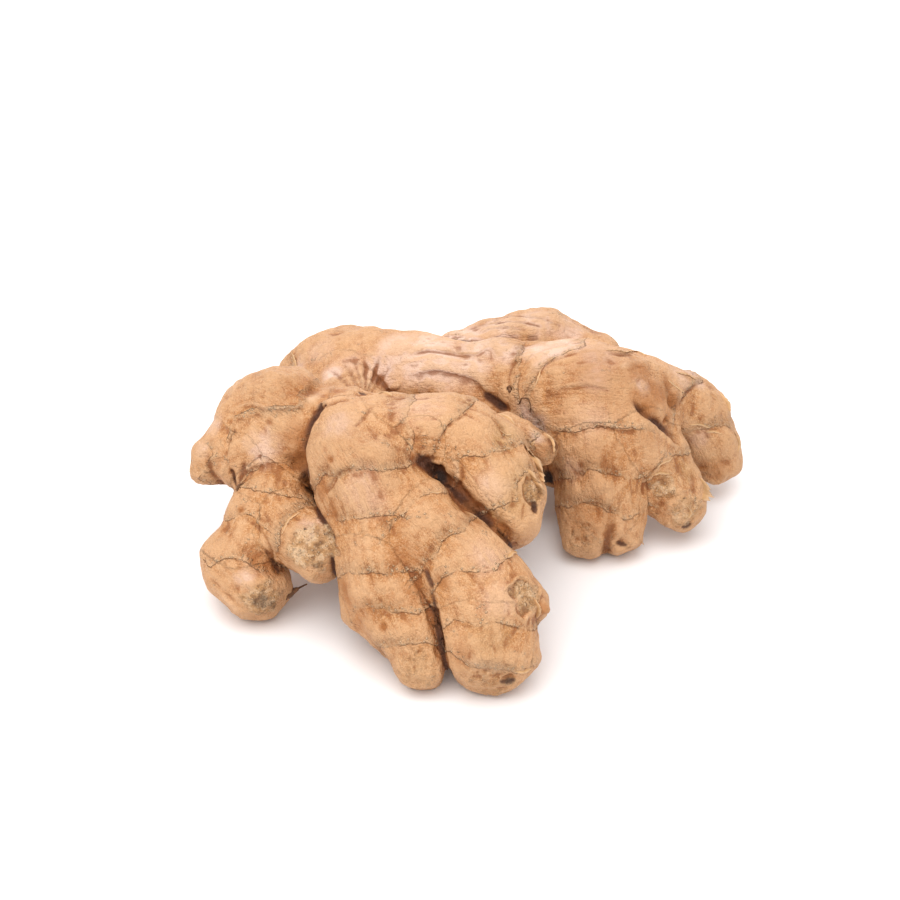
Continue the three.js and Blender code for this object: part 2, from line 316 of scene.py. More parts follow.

# Narrow crevices, carved into the skin and painted near black as shade: pixels, depth and half width in
# millimetres.
CREVICES = [
    ([(482, 391), (487, 395), (500, 405), (510, 412), (518, 417)], 1.2, 1.3),
    ([(412, 455), (422, 461), (432, 468), (441, 476), (449, 486)], 1.6, 2.0),
    ([(300, 444), (304, 456), (307, 468), (309, 480), (313, 491), (320, 502)], 0.9, 2.2),
    ([(314, 502), (322, 507), (332, 514), (338, 528), (341, 545), (340, 562), (336, 576)], 0.7, 0.8),
    ([(631, 396), (637, 409), (648, 419), (659, 427), (670, 438)], 0.7, 1.3),
    ([(548, 436), (555, 447), (559, 460), (557, 474), (552, 486), (549, 496)], 0.7, 2.4),
    ([(357, 392), (362, 394), (368, 394)], 0.5, 0.8),
    ([(615, 541), (622, 544), (630, 545)], 0.6, 0.8),
    ([(531, 495), (534, 506), (535, 516)], 0.9, 0.8),
    ([(497, 682), (508, 681), (519, 678)], 0.6, 0.8),
    ([(424, 567), (429, 578), (434, 591)], 0.5, 0.9),
    ([(680, 527), (686, 526), (692, 521)], 0.6, 1.0),
    ([(446, 482), (462, 499), (476, 513), (490, 526), (506, 541)], 0.3, 1.7),
    ([(428, 580), (434, 600), (438, 620), (441, 640), (444, 658)], 0.3, 1.1),
    ([(506, 387), (509, 389), (511, 391)], 0.8, 0.7),
    ([(319, 533), (326, 534), (333, 537)], 0.3, 0.5),
    ([(315, 541), (320, 543), (325, 545)], 0.4, 0.7),
    ([(230, 466), (234, 476), (237, 488)], 0.4, 0.6),
    ([(262, 545), (270, 556), (276, 568), (284, 580)], 0.4, 0.8),
]

# Corky scars and buds: pixel, radius, how far the skin is pressed flat there, rim height, and
# how corky it looks, from 0 to 1.
SCARS = [
    ((311, 547), 8.0, 0.6, 0.1, 0.68), ((262, 601), 6.0, 0.6, 0.15, 0.7), ((526, 597), 5.4, 1.0, 0.8, 0.7),
    ((664, 488), 4.6, 0.4, 0.15, 0.6), ((685, 512), 6.0, 0.7, 0.2, 0.5), ((584, 540), 5.0, 0.2, 0.1, 0.35),
    ((622, 543), 3.2, 0.3, 0.2, 0.25), ((643, 385), 2.6, 0.2, 0.2, 0.0), ((494, 684), 8.0, 1.2, 0.2, 0.35),
    ((420, 672), 7.0, 0.8, 0.1, 0.3), ((550, 455), 3.0, 0.4, 0.2, 0.4), ((198, 470), 3.2, 0.2, 0.1, 0.3),
    ((533, 490), 4.2, 0.9, 0.6, 0.6), ((508, 530), 5.0, 0.8, 0.1, 0.0), ((712, 476), 5.0, 0.3, 0.0, 0.0),
]
# Buds, bumps and hollows: pixel, radius and height in millimetres.
BUMPS = [
    ((300, 387), 6.0, -1.3), ((317, 391), 4.0, -1.0), ((364, 393), 4.0, -1.1), ((541, 607), 2.8, 2.8),
    ((261, 391), 1.2, 0.5), ((273, 391), 1.4, 0.7), ((283, 396), 1.2, 0.4), ((397, 387), 2.2, 0.6),
    ((331, 459), 1.4, -0.5), ((510, 681), 2.4, -1.4), ((622, 543), 1.8, -0.9), ((509, 389), 0.9, -1.0),
    ((672, 402), 2.6, -0.8), ((667, 420), 1.6, -0.9), ((241, 510), 1.2, -0.3), ((383, 627), 1.6, -0.5),
    ((485, 492), 4.0, 0.4), ((466, 540), 5.0, 0.4), ((500, 600), 5.0, 0.4), ((600, 445), 6.0, 0.5),
    ((222, 470), 3.0, 0.4), ((350, 450), 8.0, 0.5), ((312, 546), 3.0, 0.5), ((384, 545), 6.0, 0.4),
    ((404, 632), 5.0, 0.3), ((470, 650), 6.0, 0.4), ((264, 446), 8.0, 1.2), ((430, 430), 6.0, 0.4),
    ((533, 505), 2.4, -1.3), ((294, 464), 4.0, -1.8), ((420, 520), 7.0, 0.4), ((643, 385), 3.0, 0.6),
    ((262, 580), 3.0, 0.5),
]
# Places where the skin's colour differs, some of them painted shade or sheen: pixel, radius in millimetres
# and strength.
STAINS = {
    # Warm stains: partly the skin's own orange-brown, partly painted shade in hollows and on the shaded
    # sides of gaps.
    "warm_stain_and_shade": [
        ((241, 510), 1.4, 0.9), ((384, 627), 1.8, 1.0), ((461, 655), 4.0, 0.6), ((503, 532), 3.4, 0.9),
        ((443, 583), 3.0, 0.9), ((334, 391), 4.0, 0.6), ((296, 436), 5.0, 0.8), ((308, 384), 5.0, 0.6),
        ((716, 470), 4.5, 0.7), ((704, 466), 3.5, 0.9), ((541, 608), 2.6, 0.9), ((331, 459), 2.0, 0.7),
        ((322, 489), 3.4, 0.9), ((334, 512), 3.0, 0.8), ((672, 396), 3.0, 0.6), ((668, 416), 3.0, 0.8),
        ((256, 563), 3.4, 0.7), ((348, 598), 3.4, 0.7), ((299, 456), 5.0, 1.0), ((306, 490), 3.4, 0.9),
        ((285, 468), 3.0, 0.6), ((404, 556), 4.5, 0.6), ((418, 590), 5.0, 0.6), ((430, 620), 3.0, 0.5),
        ((640, 372), 7.0, 0.8), ((660, 394), 6.0, 1.0), ((650, 406), 5.0, 0.9), ((672, 400), 4.0, 1.0),
        ((636, 396), 4.0, 0.7), ((300, 460), 5.0, 1.0), ((306, 482), 4.0, 1.0), ((360, 620), 6.0, 0.4),
        ((604, 460), 8.0, 0.35), ((590, 520), 8.0, 0.4), ((350, 440), 9.0, 0.15), ((380, 480), 9.0, 0.15),
        ((550, 452), 5.0, 0.7), ((440, 330), 5.0, 0.3), ((600, 368), 11.0, 0.5), ((290, 388), 6.0, 0.4),
        ((582, 376), 6.0, 0.3), ((612, 396), 6.0, 0.3), ((650, 438), 4.0, 0.4), ((412, 556), 6.0, 0.45),
        ((396, 534), 5.0, 0.35), ((630, 376), 5.0, 0.5), ((658, 396), 5.0, 0.6), ((668, 384), 3.0, 0.6),
        ((292, 462), 5.0, 0.8), ((312, 388), 5.0, 0.5), ((345, 588), 3.0, 0.9), ((476, 522), 3.6, 0.7),
        ((498, 530), 3.0, 0.8), ((264, 566), 5.0, 0.5), ((400, 604), 4.0, 0.2), ((366, 610), 4.0, 0.4),
        ((270, 556), 3.0, 0.6), ((470, 508), 3.0, 0.5), ((574, 474), 2.4, 0.4),
    ],
    # Dark stains: real dark blotches on scars, and painted shade in holes and crevices, such as the hole
    # under the upper finger and over hand_under.
    "dark_stain_and_shade": [
        ((510, 681), 2.2, 0.6), ((624, 544), 1.6, 0.4), ((305, 529), 0.7, 0.9), ((294, 535), 0.6, 0.8),
        ((316, 564), 3.6, 0.5), ((300, 552), 1.6, 0.5), ((262, 602), 4.4, 0.65), ((272, 606), 2.4, 0.6),
        ((280, 592), 3.0, 0.5), ((320, 546), 2.6, 0.5), ((327, 534), 1.6, 0.5), ((304, 478), 3.0, 0.6),
        ((308, 490), 2.6, 0.7), ((549, 477), 4.0, 1.0), ((547, 486), 3.4, 1.0), ((534, 506), 1.8, 0.6),
        ((540, 622), 1.6, 0.4), ((440, 477), 3.0, 0.9), ((675, 406), 1.0, 0.5), ((667, 420), 1.0, 0.5),
        ((509, 389), 0.9, 0.8), ((503, 404), 2.6, 0.6),
    ],
    # Bloom: partly pale dry skin, partly painted sheen and highlights on tops and bulges.
    "bloom_and_sheen": [
        ((400, 345), 8.0, 0.9), ((480, 345), 8.0, 1.0), ((504, 350), 6.0, 0.8), ((600, 352), 7.0, 0.7),
        ((560, 340), 8.0, 1.0), ((384, 368), 7.0, 0.9), ((350, 362), 5.0, 0.5), ((690, 372), 4.0, 0.9),
        ((700, 384), 3.0, 0.7), ((538, 437), 2.6, 1.0), ((300, 366), 4.0, 0.6), ((200, 448), 3.0, 0.7),
        ((430, 346), 10.0, 1.0), ((460, 338), 10.0, 1.0), ((408, 360), 9.0, 1.0), ((440, 362), 9.0, 1.0),
        ((470, 366), 7.0, 0.9), ((333, 374), 5.0, 1.0), ((320, 350), 6.0, 0.4), ((424, 368), 7.0, 1.0),
        ((500, 326), 8.0, 0.9), ((536, 320), 7.0, 0.9), ((570, 330), 6.0, 0.8), ((536, 350), 6.0, 1.0),
        ((556, 350), 6.0, 1.0), ((576, 345), 5.0, 0.9), ((540, 362), 3.5, 0.8), ((596, 378), 5.0, 0.7),
        ((610, 350), 5.0, 0.5), ((540, 424), 4.0, 1.0), ((526, 412), 4.0, 0.9), ((262, 448), 6.0, 0.7),
        ((340, 424), 6.0, 0.6), ((362, 486), 6.0, 0.4), ((372, 500), 6.0, 0.3), ((486, 556), 6.0, 0.4),
        ((572, 470), 4.0, 0.4), ((492, 486), 5.0, 0.7), ((262, 368), 5.0, 0.8), ((214, 424), 4.0, 0.7),
        ((246, 578), 3.0, 0.8), ((680, 376), 5.0, 0.6), ((500, 600), 6.0, 0.4), ((312, 530), 5.0, 0.6),
        ((590, 420), 7.0, 0.3), ((700, 440), 4.0, 0.4), ((642, 384), 3.0, 1.0), ((420, 404), 9.0, 0.4),
    ],
    "olive": [
        ((508, 430), 4.6, 0.8), ((522, 486), 9.0, 0.6), ((508, 508), 7.0, 0.6), ((498, 440), 4.0, 0.6),
        ((520, 466), 6.0, 0.5), ((510, 500), 5.0, 0.5), ((420, 668), 6.0, 0.4), ((490, 640), 7.0, 0.4),
        ((710, 462), 5.0, 0.4), ((686, 470), 4.0, 0.4), ((204, 474), 3.0, 0.4),
    ],
}


# ---------------------------------------------------------------------------------------------
# Settings


class GingerSkinSettings(bpy.types.PropertyGroup):
    """Shape and colour of the rhizome's skin"""

    voxel: FloatProperty(name="Voxel", description="Size of the voxels that the fingers are fused in",
                         default=0.00052, min=0.0004, unit="LENGTH")
    lumps: FloatProperty(name="Lumps", description="Height of the skin's broad swellings",
                         default=0.0006, min=0, unit="LENGTH")
    pinch: FloatProperty(name="Ring pinch", description="How far a ring draws the finger in",
                         default=0.0006, min=0, unit="LENGTH")
    step: FloatProperty(name="Ring step", description="Height of the skin's edge over a ring",
                        default=0.00025, min=0, unit="LENGTH")
    triangles: IntProperty(name="Triangles", description="Most triangles in the finished skin",
                           default=196000, min=20000, max=199000)
    tan: FloatVectorProperty(name="Tan", description="Colour of the smooth skin", subtype="COLOR",
                             default=(0.54, 0.255, 0.088), min=0, max=1)
    # This pale colour is the skin's own pale streaks, and is also painted as highlight on small crests.
    pale_and_crest_highlight: FloatVectorProperty(name="Pale", description="Colour of dry edges and crests", subtype="COLOR",
                              default=(0.66, 0.40, 0.205), min=0, max=1)
    # The colour of painted shade in hollows.
    hollow_shade: FloatVectorProperty(name="Deep", description="Colour in hollows", subtype="COLOR",
                              default=(0.27, 0.085, 0.016), min=0, max=1)
    cork: FloatVectorProperty(name="Cork", description="Colour of scars and buds", subtype="COLOR",
                              default=(0.51, 0.285, 0.12), min=0, max=1)


class GingerScaleSettings(bpy.types.PropertyGroup):
    """Shape and colour of the dry scales on the rings"""

    lift: FloatProperty(name="Lift", description="How far a scale's free edge stands off the skin",
                        default=0.00022, min=0, unit="LENGTH")
    reach: FloatProperty(name="Reach", description="How far a scale hangs over its ring",
                         default=0.0007, min=0, unit="LENGTH")
    thickness: FloatProperty(name="Thickness", description="Thickness of a dry scale",
                             default=0.00012, min=0.00005, unit="LENGTH")
    colour: FloatVectorProperty(name="Colour", description="Colour of a dry scale", subtype="COLOR",
                                default=(0.56, 0.31, 0.13), min=0, max=1)


class GingerHairSettings(bpy.types.PropertyGroup):
    """Shape and colour of the root hairs and stubs"""

    thickness: FloatProperty(name="Thickness", description="Thickness of a root hair",
                             default=0.0005, min=0.0001, unit="LENGTH")
    colour: FloatVectorProperty(name="Colour", description="Colour of a dry root hair", subtype="COLOR",
                                default=(0.10, 0.045, 0.018), min=0, max=1)


class GingerStageSettings(bpy.types.PropertyGroup):
    """Floor and lights"""

    floor_size: FloatProperty(name="Floor size", description="Width of the floor", default=6.0,
                              unit="LENGTH")
    floor_colour: FloatVectorProperty(name="Floor", description="Colour of the floor", subtype="COLOR",
                                      default=(0.90, 0.89, 0.89), min=0, max=1)
    sky: FloatProperty(name="Sky light", description="Strength of the even light from all sides",
                       default=0.86)
    key: FloatProperty(name="Key light", description="Power of the soft light above and in front",
                       default=15.0, unit="POWER")
    rim: FloatProperty(name="Rim light", description="Power of the soft light behind",
                       default=7.0, unit="POWER")


# ---------------------------------------------------------------------------------------------
# Lines, noise and selection


def unit(vectors):
    """Vectors of the same directions, of length 1."""
    return vectors / np.maximum(np.linalg.norm(vectors, axis=-1, keepdims=True), 1e-12)


def catmull_rom(rows, steps):
    """Points on a smooth line through the rows."""
    rows = np.array(rows, float)
    last = len(rows) - 1
    out = []
    for i in range(last):
        before, start, end, after = rows[max(i - 1, 0)], rows[i], rows[i + 1], rows[min(i + 2, last)]
        for t in np.linspace(0, 1, steps, endpoint=False):
            out.append(0.5 * (2 * start + (end - before) * t
                              + (2 * before - 5 * start + 4 * end - after) * t ** 2
                              + (3 * start - before - 3 * end + after) * t ** 3))
    out.append(rows[last])
    return np.array(out)


STATION_STEPS = 18


class Centreline:
    """A finger's middle line in millimetres, with a frame that doesn't twist along it."""

    def __init__(self, stations):
        rows = catmull_rom(stations, STATION_STEPS)
        self.points, self.radii = rows[:, :3], rows[:, 3]
        self.tangents = unit(np.gradient(self.points, axis=0))
        steps = np.linalg.norm(np.diff(self.points, axis=0), axis=1)
        self.distances = np.concatenate([[0], np.cumsum(steps)])
        self.length = self.distances[-1]
        up = (0.0, 0.0, 1.0) if abs(self.tangents[0][2]) < 0.8 else (0.0, 1.0, 0.0)
        side = unit(np.cross(up, self.tangents[0]))
        sides = []
        for tangent in self.tangents:
            side = unit(side - tangent * (side @ tangent))
            sides.append(side)
        self.sides = np.array(sides)
        self.tops = np.cross(self.tangents, self.sides)

    def at(self, rows, distances):
        return np.stack([np.interp(distances, self.distances, column) for column in rows.T], -1)

    def frame(self, distance):
        """Middle, tangent, side and top at a distance that may lie beyond the end."""
        inside = np.array([np.clip(distance, 0, self.length)])
        tangent = unit(self.at(self.tangents, inside)[0])
        side = unit(self.at(self.sides, inside)[0])
        middle = self.at(self.points, inside)[0] + tangent * (distance - inside[0])
        return middle, tangent, side, np.cross(tangent, side)


CENTRELINES = {name: Centreline(stations) for name, stations in FINGERS.items()}


def ripples(points, wavelength, seed, waves=16):
    """Smooth noise of one scale, about -1 to 1, from plane waves in random directions."""
    draw = np.random.default_rng(seed)
    directions = unit(draw.normal(size=(waves, 3)))
    lengths = wavelength * draw.uniform(0.7, 1.4, waves)
    phases = draw.uniform(0, 2 * math.pi, waves)
    total = np.zeros(len(points))
    for direction, length, phase in zip(directions, lengths, phases):
        total += np.sin(points @ direction * (2 * math.pi / length) + phase)
    return total / math.sqrt(waves)


def smoothstep(low, high, values):
    t = np.clip((values - low) / (high - low), 0, 1)
    return t * t * (3 - 2 * t)


def deselect():
    if bpy.context.object and bpy.context.object.mode != "OBJECT":
        bpy.ops.object.mode_set(mode="OBJECT")
    bpy.ops.object.select_all(action="DESELECT")


def activate(*pieces):
    deselect()
    for piece in pieces:
        piece.select_set(True)
    bpy.context.view_layer.objects.active = pieces[0]


def join(pieces, name):
    activate(*pieces)
    bpy.ops.object.join()
    piece = bpy.context.object
    piece.name = piece.data.name = name
    return piece


def read_points(mesh):
    """Vertex positions in millimetres."""
    flat = np.empty(len(mesh.vertices) * 3, np.float32)
    mesh.vertices.foreach_get("co", flat)
    return flat.reshape(-1, 3).astype(float) / MM


def read_normals(mesh):
    flat = np.empty(len(mesh.vertices) * 3, np.float32)
    mesh.vertex_normals.foreach_get("vector", flat)
    return flat.reshape(-1, 3).astype(float)


def write_points(mesh, points):
    mesh.vertices.foreach_set("co", (points * MM).astype(np.float32).ravel())
    mesh.update()


def write_attribute(mesh, name, values):
    kind, field = ("FLOAT", "value") if values.ndim == 1 else ("FLOAT_VECTOR", "vector")
    attribute = mesh.attributes.new(name, kind, "POINT")
    attribute.data.foreach_set(field, values.astype(np.float32).ravel())


def apply_modifier(piece, kind, **settings):
    activate(piece)
    modifier = piece.modifiers.new(kind.title(), kind)
    for name, value in settings.items():
        setattr(modifier, name, value)
    bpy.ops.object.modifier_apply(modifier=modifier.name)


def smooth(piece, rounds):
    apply_modifier(piece, "SMOOTH", factor=0.5, iterations=rounds)


def count_triangles(mesh):
    return sum(len(polygon.vertices) - 2 for polygon in mesh.polygons)


# ---------------------------------------------------------------------------------------------
# Photograph and surface


def photo_ray(across, down):
    """The camera's place and the direction of one pixel of the photograph."""
    half = FRAME_PIXELS / 2
    direction = FORWARD + RIGHTWARD * (across - half) / PIXEL_FOCUS
    return np.array(AIM) - FORWARD * CAMERA_REACH, unit(direction + UPWARD * (half - down) / PIXEL_FOCUS)


class Surface:
    """A mesh as it stands, for finding points on it. Millimetres in and out."""

    def __init__(self, piece):
        mesh = piece.data
        self.tree = BVHTree.FromPolygons([v.co for v in mesh.vertices], [p.vertices for p in mesh.polygons])

    def hit(self, origin, direction, reach=1000.0):
        place, normal, _, _ = self.tree.ray_cast(Vector(origin * MM), Vector(direction), reach * MM)
        return None if place is None else (np.array(place) / MM, np.array(normal))

    def seen(self, pixel):
        return self.hit(*photo_ray(*pixel))

    def nearest(self, point):
        place, normal, _, _ = self.tree.find_nearest(Vector(point * MM))
        return np.array(place) / MM, np.array(normal)


def nearest_in(cloud, points, reach=1000.0):
    """For each point, the distance to the cloud and the index of the nearest in it. Points
    farther off than the reach are left out, with a distance of that much."""
    near = np.full(len(points), reach)
    index = np.zeros(len(points), int)
    if len(cloud):
        tree = KDTree(len(cloud))
        for i, place in enumerate(cloud):
            tree.insert(place, i)
        tree.balance()
        inside = np.all((points > cloud.min(axis=0) - reach) & (points < cloud.max(axis=0) + reach), axis=1)
        for i in np.where(inside)[0]:
            _, index[i], near[i] = tree.find(points[i])
    return near, index


def close_to(place, points, reach):
    return np.where(np.all(np.abs(points - place) < reach, axis=1))[0]


def seen_spots(surface, table):
    """The number, place, normal and remaining columns of each row whose pixel meets the skin."""
    for number, (pixel, *columns) in enumerate(table):
        hit = surface.seen(pixel)
        if hit:
            yield number, *hit, *columns


FAR = 60.0
GAP_REACH = 9.0
TIP_BLUNTNESS = 2.4


def finger_gaps(points):
    """For each point and finger, how far the point lies outside that finger alone, or FAR where
    it is beyond GAP_REACH. Tips are blunter than balls."""
    gaps = np.full((len(points), len(CENTRELINES)), FAR)
    for column, line in enumerate(CENTRELINES.values()):
        margin = line.radii.max() + GAP_REACH
        low, high = line.points.min(axis=0) - margin, line.points.max(axis=0) + margin
        here = np.where(np.all((points > low) & (points < high), axis=1))[0]
        local = points[here]
        best = np.full(len(here), FAR)
        for middle, radius in zip(line.points, line.radii):
            best = np.minimum(best, np.linalg.norm(local - middle, axis=1) - radius)
        tip = line.radii[-1]
        away = local - line.points[-1]
        beyond = away @ line.tangents[-1]
        off_axis = np.linalg.norm(away - beyond[:, None] * line.tangents[-1], axis=1)
        blunt = (np.abs(beyond) ** TIP_BLUNTNESS + off_axis ** TIP_BLUNTNESS) ** (1 / TIP_BLUNTNESS) - tip
        gaps[here, column] = np.where((beyond > 0) & (beyond < 2 * tip), np.minimum(best, blunt), best)
    return gaps


def flow_table():
    """How widely each finger flows into each other one."""
    names = list(CENTRELINES)
    table = np.full((len(names), len(names)), FLOW)
    touching = {first: dict.fromkeys(others, CREASE_FLOW) for first, others in TOUCHING.items()}
    for flows in (BROAD_FLOWS, touching):
        for first, others in flows.items():
            for second, flow in others.items():
                i, j = names.index(first), names.index(second)
                table[i, j] = table[j, i] = flow
    return table


def crease_depths(gaps, flows, most_flow=CREASE_FLOW):
    """How deep the skin is drawn in between fingers that only touch, or hardly flow together."""
    closest = np.argmin(gaps, axis=1)
    lowest = gaps[np.arange(len(gaps)), closest]
    depth = np.zeros(len(gaps))
    for column in range(gaps.shape[1]):
        touching = flows[closest, column] <= most_flow
        depth = np.maximum(depth, touching * np.exp(-((gaps[:, column] - lowest) / CREASE_WIDTH) ** 2))
    return CREASE_DEPTH * depth


def loneness(gaps):
    """0 where two fingers meet and 1 well away from any other finger."""
    nearest, second = np.sort(gaps, axis=1)[:, :2].T
    return smoothstep(0.5, 5.0, second - nearest)


def fused_gap(gaps, flows):
    """How far each point lies outside the fingers once they flow together."""
    rows = np.arange(len(gaps))
    closest = np.argmin(gaps, axis=1)
    lowest = gaps[rows, closest]
    fill = np.zeros(len(gaps))
    for column in range(gaps.shape[1]):
        flow = flows[closest, column]
        overlap = np.maximum(flow - (gaps[:, column] - lowest), 0)
        overlap[closest == column] = 0
        fill = np.maximum(fill, overlap ** 2 / (4 * flow))
    return lowest - fill


# ---------------------------------------------------------------------------------------------
# Rings, folds and scars as lines and places on the skin


class Edge:
    """A line on the skin. Its `beyond` directions point over the edge, towards the tip."""

    def __init__(self, points, beyond, strength):
        self.points, self.beyond, self.strength = points, beyond, strength


RING_POINTS = 150
RING_CATCH = 4.5    # farthest that a drawn point may lie from its own finger
RING_SWAY = 9.0     # farthest that a ring may stray along its finger
RING_SEARCH = 40.0  # how far out from the middle line the skin is looked for


def trace_ring(surface, name, seed, drawn=None, distance=None):
    """A line round a finger, through drawn points where there are any."""
    line = CENTRELINES[name]
    angles, offsets = [], []
    if drawn:
        seen = [surface.seen(pixel) for pixel in drawn]
        places = np.array([place[0] for place in seen if place is not None])
        near = np.array([np.min(np.linalg.norm(line.points - p, axis=1) - line.radii) for p in places])
        places = places[near < RING_CATCH]
        middle = places.mean(axis=0)
        along = [np.argmin(np.linalg.norm(line.points - p, axis=1) - line.radii) for p in places]
        distance = float(np.mean(line.distances[along]))
        beyond = (middle - line.points[-1]) @ line.tangents[-1]
        if beyond > 0:
            distance = line.length + min(beyond, 0.75 * line.radii[-1])
    centre, tangent, side, top = line.frame(distance)
    if drawn:
        away = places - centre
        angles = np.arctan2(away @ top, away @ side)
        order = np.argsort(angles)
        angles, offsets = angles[order], np.clip(away @ tangent, -RING_SWAY, RING_SWAY)[order]
    turn = np.linspace(-math.pi, math.pi, RING_POINTS, endpoint=False)
    circle = np.stack([6 * np.cos(turn), 6 * np.sin(turn), 0 * turn + seed], -1)
    wobble = 0.45 * ripples(circle, 5.0, seed) + 0.22 * ripples(circle, 1.8, seed + 50)
    radius = float(np.interp(distance, line.distances, line.radii))
    points, kept = [], []
    for angle, sway in zip(turn, wobble):
        offset = sway + (np.interp(angle, angles, offsets, period=2 * math.pi) if drawn else 0.0)
        middle = centre + tangent * offset
        direction = side * math.cos(angle) + top * math.sin(angle)
        found = surface.hit(middle, direction, RING_SEARCH)
        points.append(found[0] if found else middle + direction * radius)
        kept.append(found is not None and np.linalg.norm(points[-1] - middle) < radius * 1.3 + 1.5)
    points, kept = np.array(points), np.array(kept)
    gaps = finger_gaps(points)
    elsewhere = gaps[:, list(CENTRELINES).index(name)] - gaps.min(axis=1) > 0.8
    if drawn:
        elsewhere &= nearest_in(drawn_line(surface, drawn, 0.1), points, 3.0)[0] >= 2.0
    kept &= ~elsewhere
    run = np.roll(points, -1, axis=0) - np.roll(points, 1, axis=0)
    outward = unit(points - centre)
    beyond = unit(np.cross(run, outward))
    if np.mean(beyond @ tangent) < 0:
        beyond = -beyond
    strength = 0.6 + 0.4 * float(ripples(np.array([[seed * 7.3, 1.0, 2.0]]), 9.0, 5)[0])
    return Edge(points[kept], beyond[kept], float(np.clip(strength, 0.3, 1.0)))


def all_rings(surface):
    """Every ring on the skin. The drawn ones are never faint."""
    rings = []
    for name, lines in DRAWN_RINGS.items():
        for drawn in lines:
            rings.append(trace_ring(surface, name, len(rings) + 1, drawn=drawn))
            rings[-1].strength = max(rings[-1].strength, 0.6)
    for name, distances in HIDDEN_RINGS.items():
        for distance in distances:
            rings.append(trace_ring(surface, name, len(rings) + 1, distance=distance))
    return rings


def ring_fields(points, rings, surface=None):
    """For each point: the distance to the nearest ring, the same with a sign that is positive
    beyond the ring, and that ring's strength."""
    cloud, beyond, strength = [], [], []
    for ring in rings:
        following = np.roll(ring.points, -1, axis=0)
        close = np.linalg.norm(following - ring.points, axis=1) < 2.5
        halfway = (ring.points + following)[close] / 2
        cloud += [ring.points, halfway]
        beyond += [ring.beyond, ring.beyond[close]]
        strength.append(np.full(len(ring.points) + len(halfway), ring.strength))
    cloud, beyond, strength = np.concatenate(cloud), np.concatenate(beyond), np.concatenate(strength)
    if surface:
        cloud = np.array([surface.nearest(place)[0] for place in cloud])
    near, index = nearest_in(cloud, points)
    along = np.einsum("ij,ij->i", points - cloud[index], beyond[index])
    return near, np.sign(along) * near, strength[index]


def drawn_line(surface, pixels, spacing=0.35):
    """A drawn line's places on the skin, without those that miss it or jump behind."""
    dense = catmull_rom(pixels, 24)
    hits = [surface.seen(pixel) for pixel in dense]
    places = [hit[0] for hit in hits if hit is not None]
    kept = places[:1]
    for place in places[1:]:
        if spacing < np.linalg.norm(place - kept[-1]) < 6:
            kept.append(place)
    return np.array(kept)


def hidden_tips():
    """Fingertips that the photograph hides, as places outside them, directions and radii."""
    for name in ("middle_foot", "rear_bud", "rear_left_foot", "rear_middle_foot", "rear_right_foot",
                 "rear_knob", "spine_left"):
        line = CENTRELINES[name]
        end = 0 if name == "spine_left" else -1
        tangent = -line.tangents[0] if end == 0 else line.tangents[-1]
        yield line.points[end] + tangent * line.radii[end], tangent, line.radii[end]


# ---------------------------------------------------------------------------------------------
# The skin


def add_finger(name):
    """A ball drawn out along the finger's middle line."""
    line = CENTRELINES[name]
    deselect()
    bpy.ops.mesh.primitive_uv_sphere_add(segments=36, ring_count=44, radius=1)
    piece = bpy.context.object
    ball = read_points(piece.data) * MM
    start, end = line.radii[0], line.radii[-1]
    share = np.arccos(np.clip(ball[:, 2], -1, 1)) / math.pi
    distance = share * (line.length + start + end) - start
    inside = np.clip(distance, 0, line.length)
    over = np.abs(distance - inside) / np.where(distance < 0, start, end)
    radius = np.interp(inside, line.distances, line.radii) * np.sqrt(np.maximum(1 - over ** 2, 0))
    angle = np.arctan2(ball[:, 1], ball[:, 0])
    across = line.at(line.sides, inside) * np.cos(angle)[:, None]
    across = across + line.at(line.tops, inside) * np.sin(angle)[:, None]
    beyond = line.at(line.tangents, inside) * (distance - inside)[:, None]
    write_points(piece.data, line.at(line.points, inside) + beyond + across * radius[:, None])
    activate(piece)
    bpy.ops.object.mode_set(mode="EDIT")
    bpy.ops.mesh.select_all(action="SELECT")
    bpy.ops.mesh.normals_make_consistent(inside=False)
    bpy.ops.object.mode_set(mode="OBJECT")
    return piece


MOST_MOVE = 2.5


def fuse_fingers(voxel):
    """One closed skin over all the fingers, which flow together where they grew together."""
    piece = join([add_finger(name) for name in FINGERS], SKIN_PIECE)
    apply_modifier(piece, "REMESH", mode="VOXEL", voxel_size=voxel)
    flows = flow_table()
    for settle in (0, 4, 4):
        if settle:
            smooth(piece, settle)
        points = read_points(piece.data)
        gaps = finger_gaps(points)
        gap = np.clip(fused_gap(gaps, flows), -MOST_MOVE, MOST_MOVE)
        write_points(piece.data, points - read_normals(piece.data) * gap[:, None])
    points = read_points(piece.data)
    write_points(piece.data, points - read_normals(piece.data) * crease_depths(gaps, flows)[:, None])
    smooth(piece, 5)
    return piece


